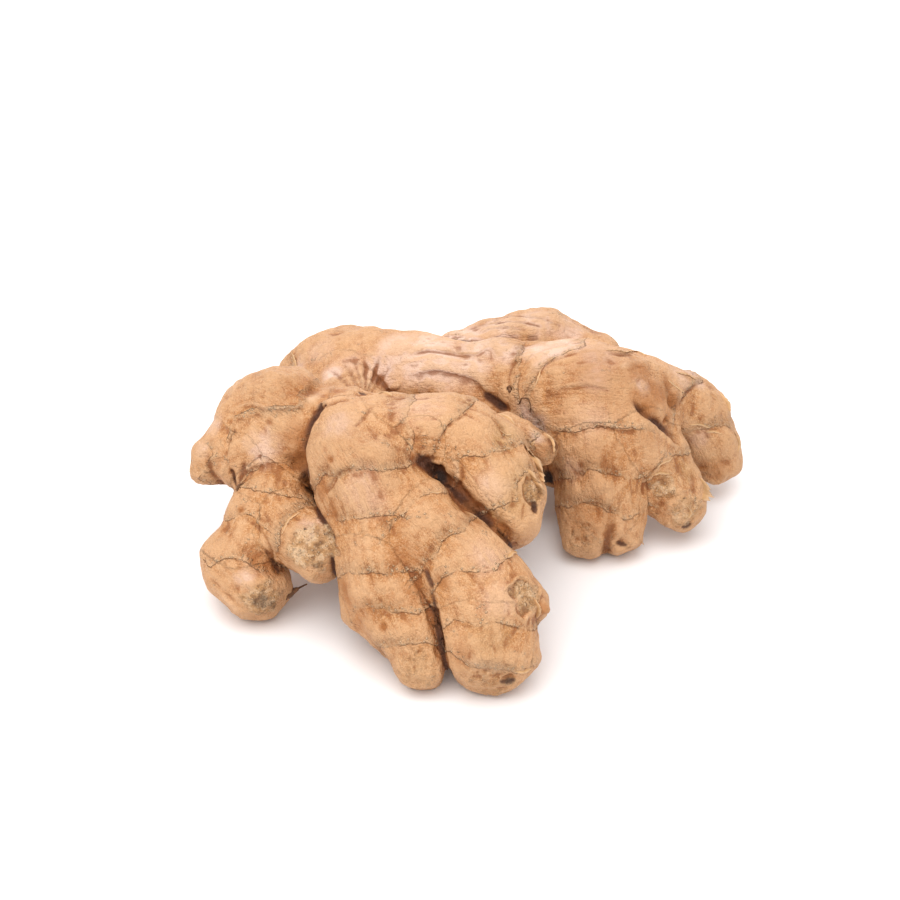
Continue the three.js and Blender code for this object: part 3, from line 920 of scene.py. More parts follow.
def flatten_facets(piece, spacing, amount, seed):
    """Presses the skin towards flat facets about as wide as the spacing, as on a dry root."""
    points, normals = read_points(piece.data), read_normals(piece.data)
    draw = np.random.default_rng(seed)
    seeds, cells = [], {}
    for i in draw.permutation(len(points))[:60000]:
        cell = tuple(np.floor(points[i] / spacing).astype(int))
        around = [cells.get((cell[0] + a, cell[1] + b, cell[2] + c), ()) for a in (-1, 0, 1)
                  for b in (-1, 0, 1) for c in (-1, 0, 1)]
        if all(np.linalg.norm(points[i] - points[j]) > spacing for group in around for j in group):
            cells.setdefault(cell, []).append(i)
            seeds.append(i)
    middles, facings = points[seeds], normals[seeds]
    tree = KDTree(len(seeds))
    for number, middle in enumerate(middles):
        tree.insert(middle, number)
    tree.balance()
    found = [tree.find_n(point, 4) for point in points]
    index = np.array([[row[1] for row in rows] for rows in found])
    apart = np.array([[row[2] for row in rows] for rows in found])
    share = np.exp(-((apart - apart[:, :1]) / 2.2) ** 2)
    share /= share.sum(axis=1, keepdims=True)
    moved = points.copy()
    for column in range(index.shape[1]):
        facing = facings[index[:, column]]
        alike = np.clip(np.einsum("ij,ij->i", normals, facing), 0, 1)
        rise = np.einsum("ij,ij->i", middles[index[:, column]] - points, facing)
        push = np.clip(rise - 0.7, -0.9, 1.0) * amount * alike * share[:, column]
        moved += facing * push[:, None]
    write_points(piece.data, moved)
    smooth(piece, 6)


SCAR_REACH = 1.9  # how far a scar's search goes, as a share of its radius
TIP_SCAR = 0.62   # a hidden tip's scar, as a share of the tip's radius


def scar_seed(number):
    return 200 + 3 * number


def tip_seed(number):
    return 300 + 3 * number


def scar_span(points, place, radius, seed):
    """How far points lie from a scar's middle, as a share of its ragged radius."""
    return np.linalg.norm(points - place, axis=1) * (1 + 0.16 * ripples(points, 5.0, seed)) / radius


def press_scar(points, normals, place, normal, radius, press, rim, seed):
    """Flattens the skin at a scar, raises its rim and roughens what lies inside."""
    here = close_to(place, points, SCAR_REACH * radius)
    here = here[normals[here] @ normal > -0.2]
    span = scar_span(points[here], place, radius, seed)
    height = (points[here] - place) @ normal
    inside = 1 - smoothstep(0.7, 1.08, span)
    level = np.clip(-height, 0, radius * 0.45) * inside * 0.45
    edge = rim * np.exp(-((span - 1.02) / 0.12) ** 2)
    fine, coarse = ripples(points[here], 1.7, seed + 1), ripples(points[here], 3.6, seed + 2)
    grain = inside * (0.09 * fine + 0.20 * coarse)
    moved = points.copy()
    moved[here] += normal * (level - inside * press * 0.75 + edge + grain)[:, None]
    return moved


def fold_share(line, points, half_width):
    """How much of a fold's height each point has. A fold starts faint at its first point."""
    distance, index = nearest_in(line, points, 3 * np.max(half_width))
    return np.exp(-(distance / half_width) ** 2) * smoothstep(-0.1, 0.45, index / max(len(line), 1))


def crevice_share(line, points, half_width):
    """How deep in a crevice each point lies, 1 along its middle and hardly any at its ends."""
    distance, index = nearest_in(line, points, 3 * np.max(half_width))
    ends = np.minimum(index, len(line) - 1 - index) / max(0.3 * len(line), 1)
    return np.exp(-(distance / half_width) ** 2) * smoothstep(-0.15, 0.9, ends)


def drop_heights(line, points, depth, width):
    """Heights that fall steeply at a drawn line and rise again gently to its left."""
    distance, index = nearest_in(line, points, 2.5 * width)
    leftward = np.cross(unit(np.gradient(line, axis=0)), FORWARD)
    left = np.einsum("ij,ij->i", points - line[index], leftward[index]) > 0
    ends = np.minimum(index, len(line) - 1 - index) / (0.25 * len(line))
    fall = np.exp(-(distance / np.where(left, width, 0.4)) ** 2)
    lip = 0.25 * np.exp(-((distance - 0.9) / 0.9) ** 2) * ~left
    return depth * (lip - fall) * (distance < 2.5 * width) * smoothstep(0, 1, ends)


def model_relief(piece, rings, settings):
    """Everything on the skin that is higher than a grain: swellings, rings, folds and scars."""
    surface = Surface(piece)
    points = read_points(piece.data)
    normals = read_normals(piece.data)
    gaps = finger_gaps(points)
    near, side, strength = ring_fields(points, rings)
    lone = loneness(gaps)

    lumps = ripples(points, 19.0, 11) + 0.55 * ripples(points, 9.0, 12) + 0.2 * ripples(points, 4.2, 13)
    height = settings.lumps / MM * lumps * (0.35 + 0.65 * lone)
    ragged = side + 0.35 * ripples(points, 2.6, 14) + 0.16 * ripples(points, 1.3, 15)
    pinch = -settings.pinch / MM * np.exp(-(near / 3.2) ** 2)
    sleeve = np.exp(-np.maximum(-ragged, 0) / 1.7) * smoothstep(0.45, -0.25, ragged)
    height += strength * (pinch * (0.4 + 0.6 * lone) + settings.step / MM * sleeve * (near < 6))
    crust = np.exp(-((ragged + 0.7) / 0.8) ** 2) * (near < 4)
    along = finger_space(points) * (1.0, 1.0, 0.2)
    wrinkles = ripples(along, 2.3, 17, 24) + 0.6 * ripples(along, 1.5, 18, 24)
    height += (0.055 + 0.06 * np.exp(-(near / 4.0) ** 2)) * wrinkles
    height += strength * crust * 0.10 * ripples(points, 1.2, 16)

    wander = 1 + 0.15 * ripples(points, 4.0, 80)
    for pixels, rise, half_width in FOLDS:
        height += rise * fold_share(drawn_line(surface, pixels), points, half_width / wander.clip(0.7, 1.3))
    for pixels, depth, width in DROPS:
        height += drop_heights(drawn_line(surface, pixels), points, depth, width) * np.clip(wander, 0.8, 1.2)
    for pixels, depth, half_width in CREVICES:
        width = half_width * wander.clip(0.7, 1.3)
        height -= depth * crevice_share(drawn_line(surface, pixels), points, width)
    for _, place, _, radius, rise in seen_spots(surface, BUMPS):
        here = close_to(place, points, radius)
        span = np.linalg.norm(points[here] - place, axis=1) / radius
        height[here] += rise * np.maximum(1 - span ** 2, 0) ** 2
    points = points + normals * height[:, None]

    for number, place, normal, radius, press, rim, _ in seen_spots(surface, SCARS):
        points = press_scar(points, normals, place, normal, radius, press, rim, scar_seed(number))
    for number, (place, tangent, radius) in enumerate(hidden_tips()):
        points = press_scar(points, normals, place, tangent, TIP_SCAR * radius, 0.8, 0.4, tip_seed(number))
    points[:, 2] = np.maximum(points[:, 2], 0.0)
    write_points(piece.data, points)


def neighbour_mean(values, edges, counts):
    total = np.stack([np.bincount(edges[:, 0], values[edges[:, 1], k], len(values))
                      + np.bincount(edges[:, 1], values[edges[:, 0], k], len(values)) for k in range(3)], -1)
    return total / counts[:, None]


def hollowness(mesh):
    """How far each vertex lies under its surroundings, in millimetres, near by and broadly."""
    points, normals = read_points(mesh), read_normals(mesh)
    edges = np.empty(len(mesh.edges) * 2, np.int32)
    mesh.edges.foreach_get("vertices", edges)
    edges = edges.reshape(-1, 2)
    counts = np.maximum(np.bincount(edges.ravel(), minlength=len(points)), 1).astype(float)
    smoothed, depths = points, []
    for step in range(1, 71):
        smoothed = neighbour_mean(smoothed, edges, counts)
        if step in (6, 70):
            depths.append(np.einsum("ij,ij->i", smoothed - points, normals))
    return depths


def finger_space(points):
    """Each point's place in its own finger's frame: side, top and distance along it."""
    best = np.full(len(points), FAR)
    place = np.zeros((len(points), 3))
    for line in CENTRELINES.values():
        for i in range(0, len(line.points), 4):
            away = points - line.points[i]
            gap = np.linalg.norm(away, axis=1) - line.radii[i]
            closer = np.where(gap < best)[0]
            best[closer] = gap[closer]
            place[closer, 0] = away[closer] @ line.sides[i]
            place[closer, 1] = away[closer] @ line.tops[i]
            place[closer, 2] = away[closer] @ line.tangents[i] + line.distances[i]
    return place


STAIN_SEED = 77
CONTACT_FLOW = 1.0  # fingers that flow together no more than this get painted shade where they meet


def mark_skin(piece, rings):
    """Writes what the skin's material reads at each vertex."""
    mesh, surface = piece.data, Surface(piece)
    points = read_points(mesh)
    near, side, strength = ring_fields(points, rings, surface)
    # Painted shade in fold creases and at the foot of drops, painted highlight on fold crests and drop lips.
    shaded_crease, highlit_crest = np.zeros(len(points)), np.zeros(len(points))
    for pixels, rise, half_width in FOLDS:
        share = fold_share(drawn_line(surface, pixels), points, 0.8 * half_width)
        if rise < 0:
            shaded_crease = np.maximum(shaded_crease, min(1.0, -rise * 1.6) * share)
        else:
            highlit_crest = np.maximum(highlit_crest, min(0.9, rise * 1.2) * share)
    for pixels, depth, width in DROPS:
        distance = -drop_heights(drawn_line(surface, pixels), points, 1.0, 0.5 * width)
        shaded_crease = np.maximum(shaded_crease, min(1.0, depth) * np.clip(distance, 0, 1))
        highlit_crest = np.maximum(highlit_crest, min(0.9, depth) * np.clip(-4 * distance, 0, 1))
    cork = np.zeros(len(points))
    for number, place, _, radius, _, _, look in seen_spots(surface, SCARS):
        here = close_to(place, points, SCAR_REACH * radius)
        span = scar_span(points[here], place, radius, scar_seed(number))
        cork[here] = np.maximum(cork[here], look * (1 - smoothstep(0.6, 1.1, span)))
    for number, (place, _, radius) in enumerate(hidden_tips()):
        here = close_to(place, points, SCAR_REACH * radius)
        span = scar_span(points[here], place, TIP_SCAR * radius, tip_seed(number))
        cork[here] = np.maximum(cork[here], 0.7 * (1 - smoothstep(0.6, 1.1, span)))
    for name, stains in STAINS.items():
        amounts = np.zeros(len(points))
        for _, place, _, radius, amount in seen_spots(surface, stains):
            here = close_to(place, points, 1.7 * radius)
            span = scar_span(points[here], place, radius, STAIN_SEED)
            amounts[here] = np.maximum(amounts[here], amount * (1 - smoothstep(0.2, 1.2, span)))
        write_attribute(mesh, name, amounts)
    # Painted shade where fingers only touch and along the crevices.
    gaps = finger_gaps(points)
    contact_shade = (crease_depths(gaps, flow_table(), CONTACT_FLOW) / CREASE_DEPTH) ** 2
    for pixels, depth, half_width in CREVICES:
        share = crevice_share(drawn_line(surface, pixels), points, 0.9 * half_width)
        contact_shade = np.maximum(contact_shade, share * min(1.0, 0.5 + 0.5 * depth))
    # Hollowness near by and broadly, from which the material paints shade in hollows and highlights on
    # crests.
    close, broad = hollowness(mesh)
    marks = {
        "ring_near": np.clip(near, 0, 8), "ring_side": np.clip(side, -8, 8), "ring_strength": strength,
        "shaded_crease": shaded_crease, "highlit_crest": highlit_crest, "cork": cork, "contact_shade": contact_shade, "lone": loneness(gaps),
        "hollow_close": close, "hollow_broad": broad, "finger_space": finger_space(points),
    }
    for name, values in marks.items():
        write_attribute(mesh, name, values)


# ---------------------------------------------------------------------------------------------
# Materials


class Wire:
    """A node's socket with arithmetic. Each operation adds one Math node."""

    def __init__(self, paint, socket):
        self.paint, self.socket = paint, socket

    def __add__(self, other):
        return self.paint.math("ADD", self, other)

    def __sub__(self, other):
        return self.paint.math("SUBTRACT", self, other)

    def __rsub__(self, other):
        return self.paint.math("SUBTRACT", other, self)

    def __mul__(self, other):
        return self.paint.math("MULTIPLY", self, other)

    def __abs__(self):
        return self.paint.math("ABSOLUTE", self)

    __radd__ = __add__
    __rmul__ = __mul__


class Paint:
    """A procedural material under construction."""

    def __init__(self, name):
        self.material = bpy.data.materials.new(name)
        self.material.use_nodes = True
        self.tree = self.material.node_tree
        self.tree.nodes.clear()

    def node(self, kind, settings=None, **inputs):
        """Adds a node: its settings first, then its inputs by name, with _ for a space."""
        node = self.tree.nodes.new(kind)
        for name, value in (settings or {}).items():
            setattr(node, name, value)
        for name, value in inputs.items():
            wanted = name.replace("_", " ")
            socket = next(s for s in node.inputs if s.enabled and s.name == wanted)
            self.plug(socket, value)
        return node

    def plug(self, socket, value):
        if isinstance(value, Wire):
            self.tree.links.new(value.socket, socket)
        elif isinstance(value, (tuple, list)) and socket.type == "RGBA":
            socket.default_value = (*value[:3], 1.0)
        else:
            socket.default_value = value

    def out(self, node, name=None):
        return Wire(self, next(s for s in node.outputs if s.enabled and name in (None, s.name)))

    def math(self, operation, *values):
        node = self.tree.nodes.new("ShaderNodeMath")
        node.operation = operation
        for socket, value in zip(node.inputs, values):
            self.plug(socket, value)
        return self.out(node)

    def ramp(self, value, low, high):
        """0 at low and 1 at high, smooth between them. Low may be the larger."""
        return self.out(self.node("ShaderNodeMapRange", {"interpolation_type": "SMOOTHSTEP"},
                                  Value=value, From_Min=low, From_Max=high, To_Min=0.0, To_Max=1.0))

    def mix(self, factor, first, second, blend="MIX"):
        return self.out(self.node("ShaderNodeMix", {"data_type": "RGBA", "blend_type": blend},
                                  Factor=factor, A=first, B=second))

    def layers(self, colour, *coats):
        """Coats of colour over each other, each with its mask."""
        for mask, coat in coats:
            colour = self.mix(mask, colour, coat)
        return colour

    def attribute(self, name, output="Fac"):
        return self.out(self.node("ShaderNodeAttribute", {"attribute_name": name}), output)

    def object_space(self):
        return self.out(self.node("ShaderNodeTexCoord"), "Object")

    def noise(self, vector, size, detail=3.0, roughness=0.55):
        """Cloudy noise, 0 to 1 about 0.5, whose patches are size wide."""
        return self.out(self.node("ShaderNodeTexNoise", None, Vector=vector, Scale=1 / size,
                                  Detail=detail, Roughness=roughness))

    def cells(self, vector, size):
        """Distance to the middle of the nearest of many cells, in shares of their size."""
        return self.out(self.node("ShaderNodeTexVoronoi", None, Vector=vector, Scale=1 / size), "Distance")

    def stretch(self, vector, scale):
        node = self.node("ShaderNodeVectorMath", {"operation": "MULTIPLY"})
        self.plug(node.inputs[0], vector)
        self.plug(node.inputs[1], scale)
        return self.out(node)

    def bump(self, height, distance):
        return self.out(self.node("ShaderNodeBump", None, Distance=distance, Height=height))

    def finish(self, **inputs):
        shader = self.node("ShaderNodeBsdfPrincipled", None, **inputs)
        output = self.node("ShaderNodeOutputMaterial")
        self.tree.links.new(shader.outputs["BSDF"], output.inputs["Surface"])
        return self.material


# The skin's further colours, beside those in its settings.
FRESH = (0.575, 0.30, 0.125)
BEYOND_RING = (0.54, 0.24, 0.065)
BEFORE_RING = (0.61, 0.34, 0.165)
BROWN_PATCH = (0.43, 0.175, 0.052)
BROWN_FLECK = (0.34, 0.135, 0.038)
PALE_FLECK = (0.75, 0.48, 0.265)
BROWN_STREAK = (0.40, 0.17, 0.055)
BROWN_GRAIN = (0.40, 0.165, 0.048)
PALE_GRAIN = (0.70, 0.44, 0.235)
PINK_BLOOM_AND_SHEEN = (0.82, 0.62, 0.51)
OLIVE = (0.44, 0.29, 0.115)
DEEPEST_HOLLOW_SHADE = (0.085, 0.028, 0.008)
RIDGE_HIGHLIGHT = (0.66, 0.41, 0.23)
CRUST = (0.74, 0.50, 0.29)
GRANULE = (0.82, 0.60, 0.37)
RING_LINE = (0.33, 0.115, 0.028)
FOLD_CREST_HIGHLIGHT = (0.78, 0.56, 0.38)
FOLD_CREASE_SHADE = (0.20, 0.07, 0.019)
CREVICE_SHADE = (0.075, 0.022, 0.006)
WARM_STAIN_AND_SHADE = (0.38, 0.14, 0.03)
DARK_STAIN_AND_SHADE = (0.035, 0.016, 0.009)
PALE_CORK = (0.78, 0.55, 0.33)
BROWN_CORK = (0.30, 0.155, 0.07)
CORK_GRAIN = (0.84, 0.70, 0.50)
CORK_PIT = (0.16, 0.08, 0.035)
WHOLE_TINT = (1.0, 0.95, 0.92)
STREAK_SPACE = (0.001, 0.001, 0.00012)  # millimetres to metres, drawn out along the finger
SKIN_BUMP = 0.0013


def skin_material(settings):
    """Thin tan skin with rings, streaks and pebbles, corky at the scars, with painted shade in hollows,
    creases and crevices and painted highlights on crests and tops.
    """
    paint = Paint("ginger_skin")
    space = paint.object_space()
    finger = paint.attribute("finger_space", "Vector")
    near, side, strength, lone = map(paint.attribute, ("ring_near", "ring_side", "ring_strength", "lone"))
    shaded_crease, highlit_crest, cork, contact_shade = map(paint.attribute, ("shaded_crease", "highlit_crest", "cork", "contact_shade"))
    warm_and_shade, dark_and_shade, bloom_and_sheen, olive = map(paint.attribute, ("warm_stain_and_shade", "dark_stain_and_shade", "bloom_and_sheen", "olive"))
    close, broad = map(paint.attribute, ("hollow_close", "hollow_broad"))
    tan, pale_and_crest_highlight, hollow_shade, cork_colour = map(tuple, (settings.tan, settings.pale_and_crest_highlight, settings.hollow_shade, settings.cork))

    clouds = paint.noise(space, 0.014, 3)
    patches = paint.noise(space, 0.0055, 4, 0.6)
    mottle = paint.noise(space, 0.0017, 4, 0.65)
    speck = paint.noise(space, 0.0007, 3, 0.6)
    grain = paint.noise(space, 0.00036, 2, 0.5)
    streaks = paint.noise(paint.stretch(finger, STREAK_SPACE), 0.0006, 3, 0.65)
    streaky = (streaks - 0.5) * (0.35 + 0.65 * lone)
    cells = paint.cells(space, 0.0010)
    breaks = paint.noise(space, 0.0045, 2)

    edge = side + (paint.noise(space, 0.0013, 3, 0.6) - 0.5) * 1.5
    at_ring = paint.ramp(near, 4.0, 1.5) * paint.ramp(strength, 0.1, 0.7)
    before = paint.ramp(side, -5.0, -1.0) * paint.ramp(side, 0.2, -0.2)
    beyond = paint.ramp(side, 7.0, 1.0) * paint.ramp(side, -0.2, 0.3)
    crusty = 0.25 + 0.75 * paint.ramp(breaks, 0.42, 0.62)
    crust = at_ring * paint.ramp(edge, -2.4, -0.3) * paint.ramp(edge, 0.15, -0.10) * crusty
    line = at_ring * paint.ramp(abs(edge - 0.10), 0.20, 0.04) * paint.ramp(breaks, 0.42, 0.58)
    granular = paint.ramp(crust + paint.ramp(patches, 0.52, 0.72) * 0.5, 0.15, 0.6)
    granule = paint.ramp(cells, 0.42, 0.16) * granular

    colour = paint.mix(paint.ramp(clouds, 0.35, 0.68), tan, FRESH)
    colour = paint.layers(
        colour,
        (beyond * 0.45, BEYOND_RING),
        (before * 0.35, BEFORE_RING),
        (paint.ramp(patches, 0.46, 0.68) * 0.7, BROWN_PATCH),
        (paint.ramp(mottle, 0.5, 0.68) * 0.7, BROWN_FLECK),
        (paint.ramp(mottle, 0.48, 0.30) * 0.7, PALE_FLECK),
        (paint.ramp(streaky, 0.02, 0.15) * 0.8, BROWN_STREAK),
        (paint.ramp(streaky, -0.02, -0.15) * 0.7, pale_and_crest_highlight),
        (paint.ramp(grain, 0.52, 0.66) * 0.7, BROWN_GRAIN),
        (paint.ramp(grain, 0.48, 0.34) * 0.7, PALE_GRAIN),
        # Pinkish pale bloom, partly dry skin, partly painted sheen on tops and bulges.
        (bloom_and_sheen * (0.6 + 0.5 * patches), PINK_BLOOM_AND_SHEEN),
        (olive * 0.6, OLIVE),
        # Painted shade deepening in broad hollows, and painted highlight on broad ridges.
        (paint.ramp(broad, 0.25, 1.0) * 0.85, hollow_shade),
        (paint.ramp(broad, 0.75, 1.4) * 0.8, DEEPEST_HOLLOW_SHADE),
        (paint.ramp(broad, -0.05, -0.9) * 0.3, RIDGE_HIGHLIGHT),
        # Painted shade in small hollows, and painted highlight on small crests.
        (paint.ramp(close, 0.03, 0.20) * 0.65, hollow_shade),
        (paint.ramp(close, -0.02, -0.16) * 0.5, pale_and_crest_highlight),
        (crust * paint.ramp(speck, 0.42, 0.60) * 0.6, CRUST),
        (granule * 0.75, GRANULE),
        (line * 0.6, RING_LINE),
        # Painted highlight on fold crests and painted shade in fold creases.
        (highlit_crest * 0.55, FOLD_CREST_HIGHLIGHT),
        (shaded_crease * 0.75, FOLD_CREASE_SHADE),
        # Near-black painted shade in crevices and where fingers touch.
        (paint.ramp(contact_shade, 0.08, 0.65) * 0.92, CREVICE_SHADE),
        # Warm stains, partly real tone, partly painted shade in hollows.
        (warm_and_shade * 0.8, WARM_STAIN_AND_SHADE),
    )

    patchy = paint.noise(space, 0.0030, 4, 0.65)
    corky = paint.layers(
        cork_colour,
        (paint.ramp(patchy, 0.44, 0.62), PALE_CORK),
        (paint.ramp(patchy, 0.47, 0.34) * 0.8, BROWN_CORK),
        (paint.ramp(cells, 0.36, 0.16) * 0.4, CORK_GRAIN),
        (paint.ramp(speck, 0.60, 0.66) * 0.8, CORK_PIT),
    )
    corkiness = paint.ramp(cork + (mottle - 0.5) * 1.1, 0.25, 0.75)
    # Near-black blotches: real stains on scars, and painted shade in holes and crevices.
    blackened_and_shaded = paint.ramp(dark_and_shade + (mottle - 0.5) * 0.9, 0.25, 0.95)
    colour = paint.layers(colour, (corkiness * 0.9, corky), (blackened_and_shaded, DARK_STAIN_AND_SHADE))
    colour = paint.mix(1.0, colour, WHOLE_TINT, "MULTIPLY")

    height = mottle * 0.85 + streaky * 0.6 + granule * 0.55 + speck * 0.2 + grain * 0.12
    height = height + crust * 0.4 * speck - line * 0.6 - shaded_crease * 0.2 + before * at_ring * streaky
    height = height + corkiness * (paint.ramp(cells, 0.5, 0.15) * 0.25 + speck * 0.5)
    rough = 0.46 + 0.24 * mottle + 0.2 * corkiness + 0.12 * crust
    return paint.finish(Base_Color=colour, Roughness=rough, Normal=paint.bump(height, SKIN_BUMP),
                        Specular_IOR_Level=0.45)


FREE_EDGE = (0.74, 0.50, 0.30)
FIBRE = (0.40, 0.22, 0.09)
DRY_BUMP = 0.0002


def scale_material(settings):
    """Dry papery scale, paler at its free edge."""
    paint = Paint("dry_scale")
    space = paint.object_space()
    fibres = paint.noise(space, 0.0009, 4, 0.6)
    clouds = paint.noise(space, 0.004, 3)
    edge = paint.attribute("free_edge")
    base = tuple(settings.colour)
    colour = paint.layers(
        base,
        (paint.ramp(clouds, 0.35, 0.65), tuple(0.72 * part for part in base)),
        (paint.ramp(edge, 0.3, 1.0) * 0.6, FREE_EDGE),
        (paint.ramp(fibres, 0.55, 0.75) * 0.4, FIBRE),
    )
    return paint.finish(Base_Color=colour, Roughness=0.6 + 0.2 * fibres,
                        Normal=paint.bump(fibres, DRY_BUMP), Specular_IOR_Level=0.35)


def hair_material(settings):
    """Dry brown root hair."""
    paint = Paint("root_hair")
    fibres = paint.noise(paint.object_space(), 0.0006, 3)
    base = tuple(settings.colour)
    colour = paint.mix(paint.ramp(fibres, 0.35, 0.7), base, tuple(min(1.0, 2.2 * part) for part in base))
    return paint.finish(Base_Color=colour, Roughness=0.65 + 0.2 * fibres,
                        Normal=paint.bump(fibres, DRY_BUMP))


def floor_material(colour):
    """Matt pale floor with a faint cloudiness."""
    paint = Paint("pale_floor")
    grain = paint.noise(paint.object_space(), 0.05, 2)
    return paint.finish(Base_Color=paint.mix(grain * 0.1, colour, tuple(0.97 * part for part in colour)),
                        Roughness=0.75 + 0.1 * grain, Specular_IOR_Level=0.2)


def dress(piece, material):
    """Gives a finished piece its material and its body."""
    piece.data.materials.clear()
    piece.data.materials.append(material)
    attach(piece, BODY)


# ---------------------------------------------------------------------------------------------
# Scales and hairs


STRIP_ROWS = 4
RING_STRIP_SEED = 41
TORN_STRIP_SEED = 42
STRIP_CHANCE = 0.2  # how often a run of a strong ring carries a scrap


def add_strip(base, free, normals, lift):
    """A narrow sheet from a line on the skin to a free line, arched between them."""
    deselect()
    bpy.ops.mesh.primitive_grid_add(x_subdivisions=len(base) - 1, y_subdivisions=STRIP_ROWS - 1, size=1)
    piece = bpy.context.object
    shares = np.linspace(0, 1, STRIP_ROWS)
    share = shares[:, None, None]
    arch = np.sin(share * math.pi * 0.5) ** 1.5
    points = base[None] * (1 - share) + free[None] * share + normals[None] * lift[None, :, None] * arch
    write_points(piece.data, points.reshape(-1, 3))
    write_attribute(piece.data, "free_edge", np.repeat(shares, len(base)))
    return piece


def ring_strips(surface, rings, settings):
    """Ragged scraps of scale along the rings."""
    draw = np.random.default_rng(RING_STRIP_SEED)
    pieces = []
    for ring in rings:
        count = len(ring.points)
        start = int(draw.integers(0, 20))
        while start < count - 8:
            length = int(draw.integers(6, 16))
            run = np.arange(start, min(start + length, count - 1))
            gap = np.linalg.norm(np.diff(ring.points[run], axis=0), axis=1)
            if len(run) > 5 and gap.max() < 2.5 and draw.random() < STRIP_CHANCE * ring.strength:
                taper = np.sin(np.linspace(0.12, math.pi - 0.12, len(run)))
                jagged = 0.55 + 0.45 * draw.random(len(run)) + 0.35 * (draw.random() - 0.4)
                places = [surface.nearest(point) for point in ring.points[run]]
                skin = np.array([place for place, _ in places])
                normals = np.array([normal for _, normal in places])
                beyond = ring.beyond[run]
                reach = settings.reach / MM * taper * jagged
                lift = settings.lift / MM * (0.2 + taper * draw.uniform(0.3, 0.9))
                base = skin - beyond * 0.5 - normals * 0.12
                free = skin + beyond * reach[:, None]
                ends = np.array([surface.nearest(point)[0] for point in free])
                pieces.append(add_strip(base, ends + normals * 0.05, normals, lift))
            start += length + int(draw.integers(3, 26))
    return pieces


# Torn scales seen in the photograph: the line that holds them, the way the free edge points,
# across and down in pixels, its length and lift in millimetres.
TORN_SCALES = [
    ([(524, 444), (531, 455), (537, 468), (542, 482)], (6, 7), 5.0, 1.6),
    ([(528, 470), (534, 482), (540, 492)], (7, 5), 4.6, 2.0),
    ([(500, 414), (510, 420), (518, 430), (523, 440)], (5, -6), 1.2, 0.5),
    ([(500, 430), (506, 434), (512, 434)], (3, 5), 0.9, 0.3),
    ([(700, 478), (704, 488), (702, 500)], (8, 2), 5.5, 1.2),
    ([(652, 476), (660, 472), (670, 474)], (-2, 5), 1.2, 0.5),
    ([(622, 352), (634, 351), (646, 356)], (4, 5), 2.0, 0.6),
    ([(676, 372), (686, 374), (696, 380)], (2, 6), 1.6, 0.5),
    ([(668, 380), (676, 386), (684, 392)], (-4, 5), 1.1, 0.3),
    ([(690, 425), (700, 424), (710, 428)], (2, 5), 0.9, 0.3),
    ([(706, 432), (714, 431), (722, 434)], (2, 5), 0.9, 0.3),
    ([(640, 540), (646, 546), (650, 552)], (6, 5), 2.0, 0.7),
    ([(606, 350), (618, 350), (632, 353)], (4, 3), 1.6, 0.4),
    ([(678, 364), (690, 368), (702, 376)], (3, -4), 1.1, 0.4),
    ([(720, 394), (726, 402), (730, 412)], (5, -2), 1.6, 0.7),
    ([(734, 432), (738, 442), (738, 452)], (6, 0), 1.5, 0.6),
    ([(534, 598), (538, 608), (536, 618)], (6, 3), 1.6, 0.8),
    ([(300, 512), (288, 520), (282, 534)], (5, 3), 0.9, 0.3),
    ([(546, 434), (552, 442), (554, 452)], (4, -3), 1.2, 0.5),
    ([(378, 394), (384, 393), (392, 396)], (2, -5), 0.9, 0.5),
    ([(516, 672), (524, 671), (531, 668)], (3, 5), 1.2, 0.5),
    ([(686, 505), (690, 512), (688, 518)], (6, 3), 1.4, 0.6),
]


def torn_strips(surface):
    """The torn scales at their places on the skin, with jagged free edges."""
    draw = np.random.default_rng(TORN_STRIP_SEED)
    pieces = []
    for pixels, direction, length, lift in TORN_SCALES:
        skin = drawn_line(surface, pixels, spacing=0.3)
        if len(skin) < 5:
            continue
        normals = unit(np.array([surface.nearest(point)[1] for point in skin]))
        way = unit(RIGHTWARD * direction[0] - UPWARD * direction[1])
        taper = np.sin(np.linspace(0.25, math.pi - 0.25, len(skin)))
        jagged = 0.45 + 0.4 * draw.random(len(skin)) + 0.4 * np.abs(np.sin(np.arange(len(skin)) * 0.9))
        reach = 0.6 * length * taper * jagged
        along = unit(way - normals * (normals @ way)[:, None] * 0.9)
        base = skin - normals * 0.15 - along * 0.4
        free = skin + along * reach[:, None] + normals * (0.15 * lift * taper)[:, None]
        pieces.append(add_strip(base, free, normals, 0.5 * lift * (0.3 + 0.7 * taper)))
    return pieces


HAIR_STEPS = 4


def add_hair(path, thickness, taper):
    """A thin round strand along a path, drawn as a curve and then made a mesh."""
    deselect()
    path = catmull_rom(path, HAIR_STEPS)
    bpy.ops.curve.primitive_nurbs_path_add()
    piece = bpy.context.object
    spline = piece.data.splines[0]
    spline.points.add(len(path) - len(spline.points))
    for number, (point, place) in enumerate(zip(spline.points, path)):
        point.co = (*(np.array(place) * MM), 1.0)
        point.radius = 1 - (1 - taper) * number / (len(path) - 1)
    spline.use_endpoint_u = True
    spline.order_u = 4
    spline.resolution_u = 6
    piece.data.bevel_depth = thickness / 2
    piece.data.bevel_resolution = 2
    piece.data.use_fill_caps = True
    activate(piece)
    bpy.ops.object.convert(target="MESH")
    return bpy.context.object


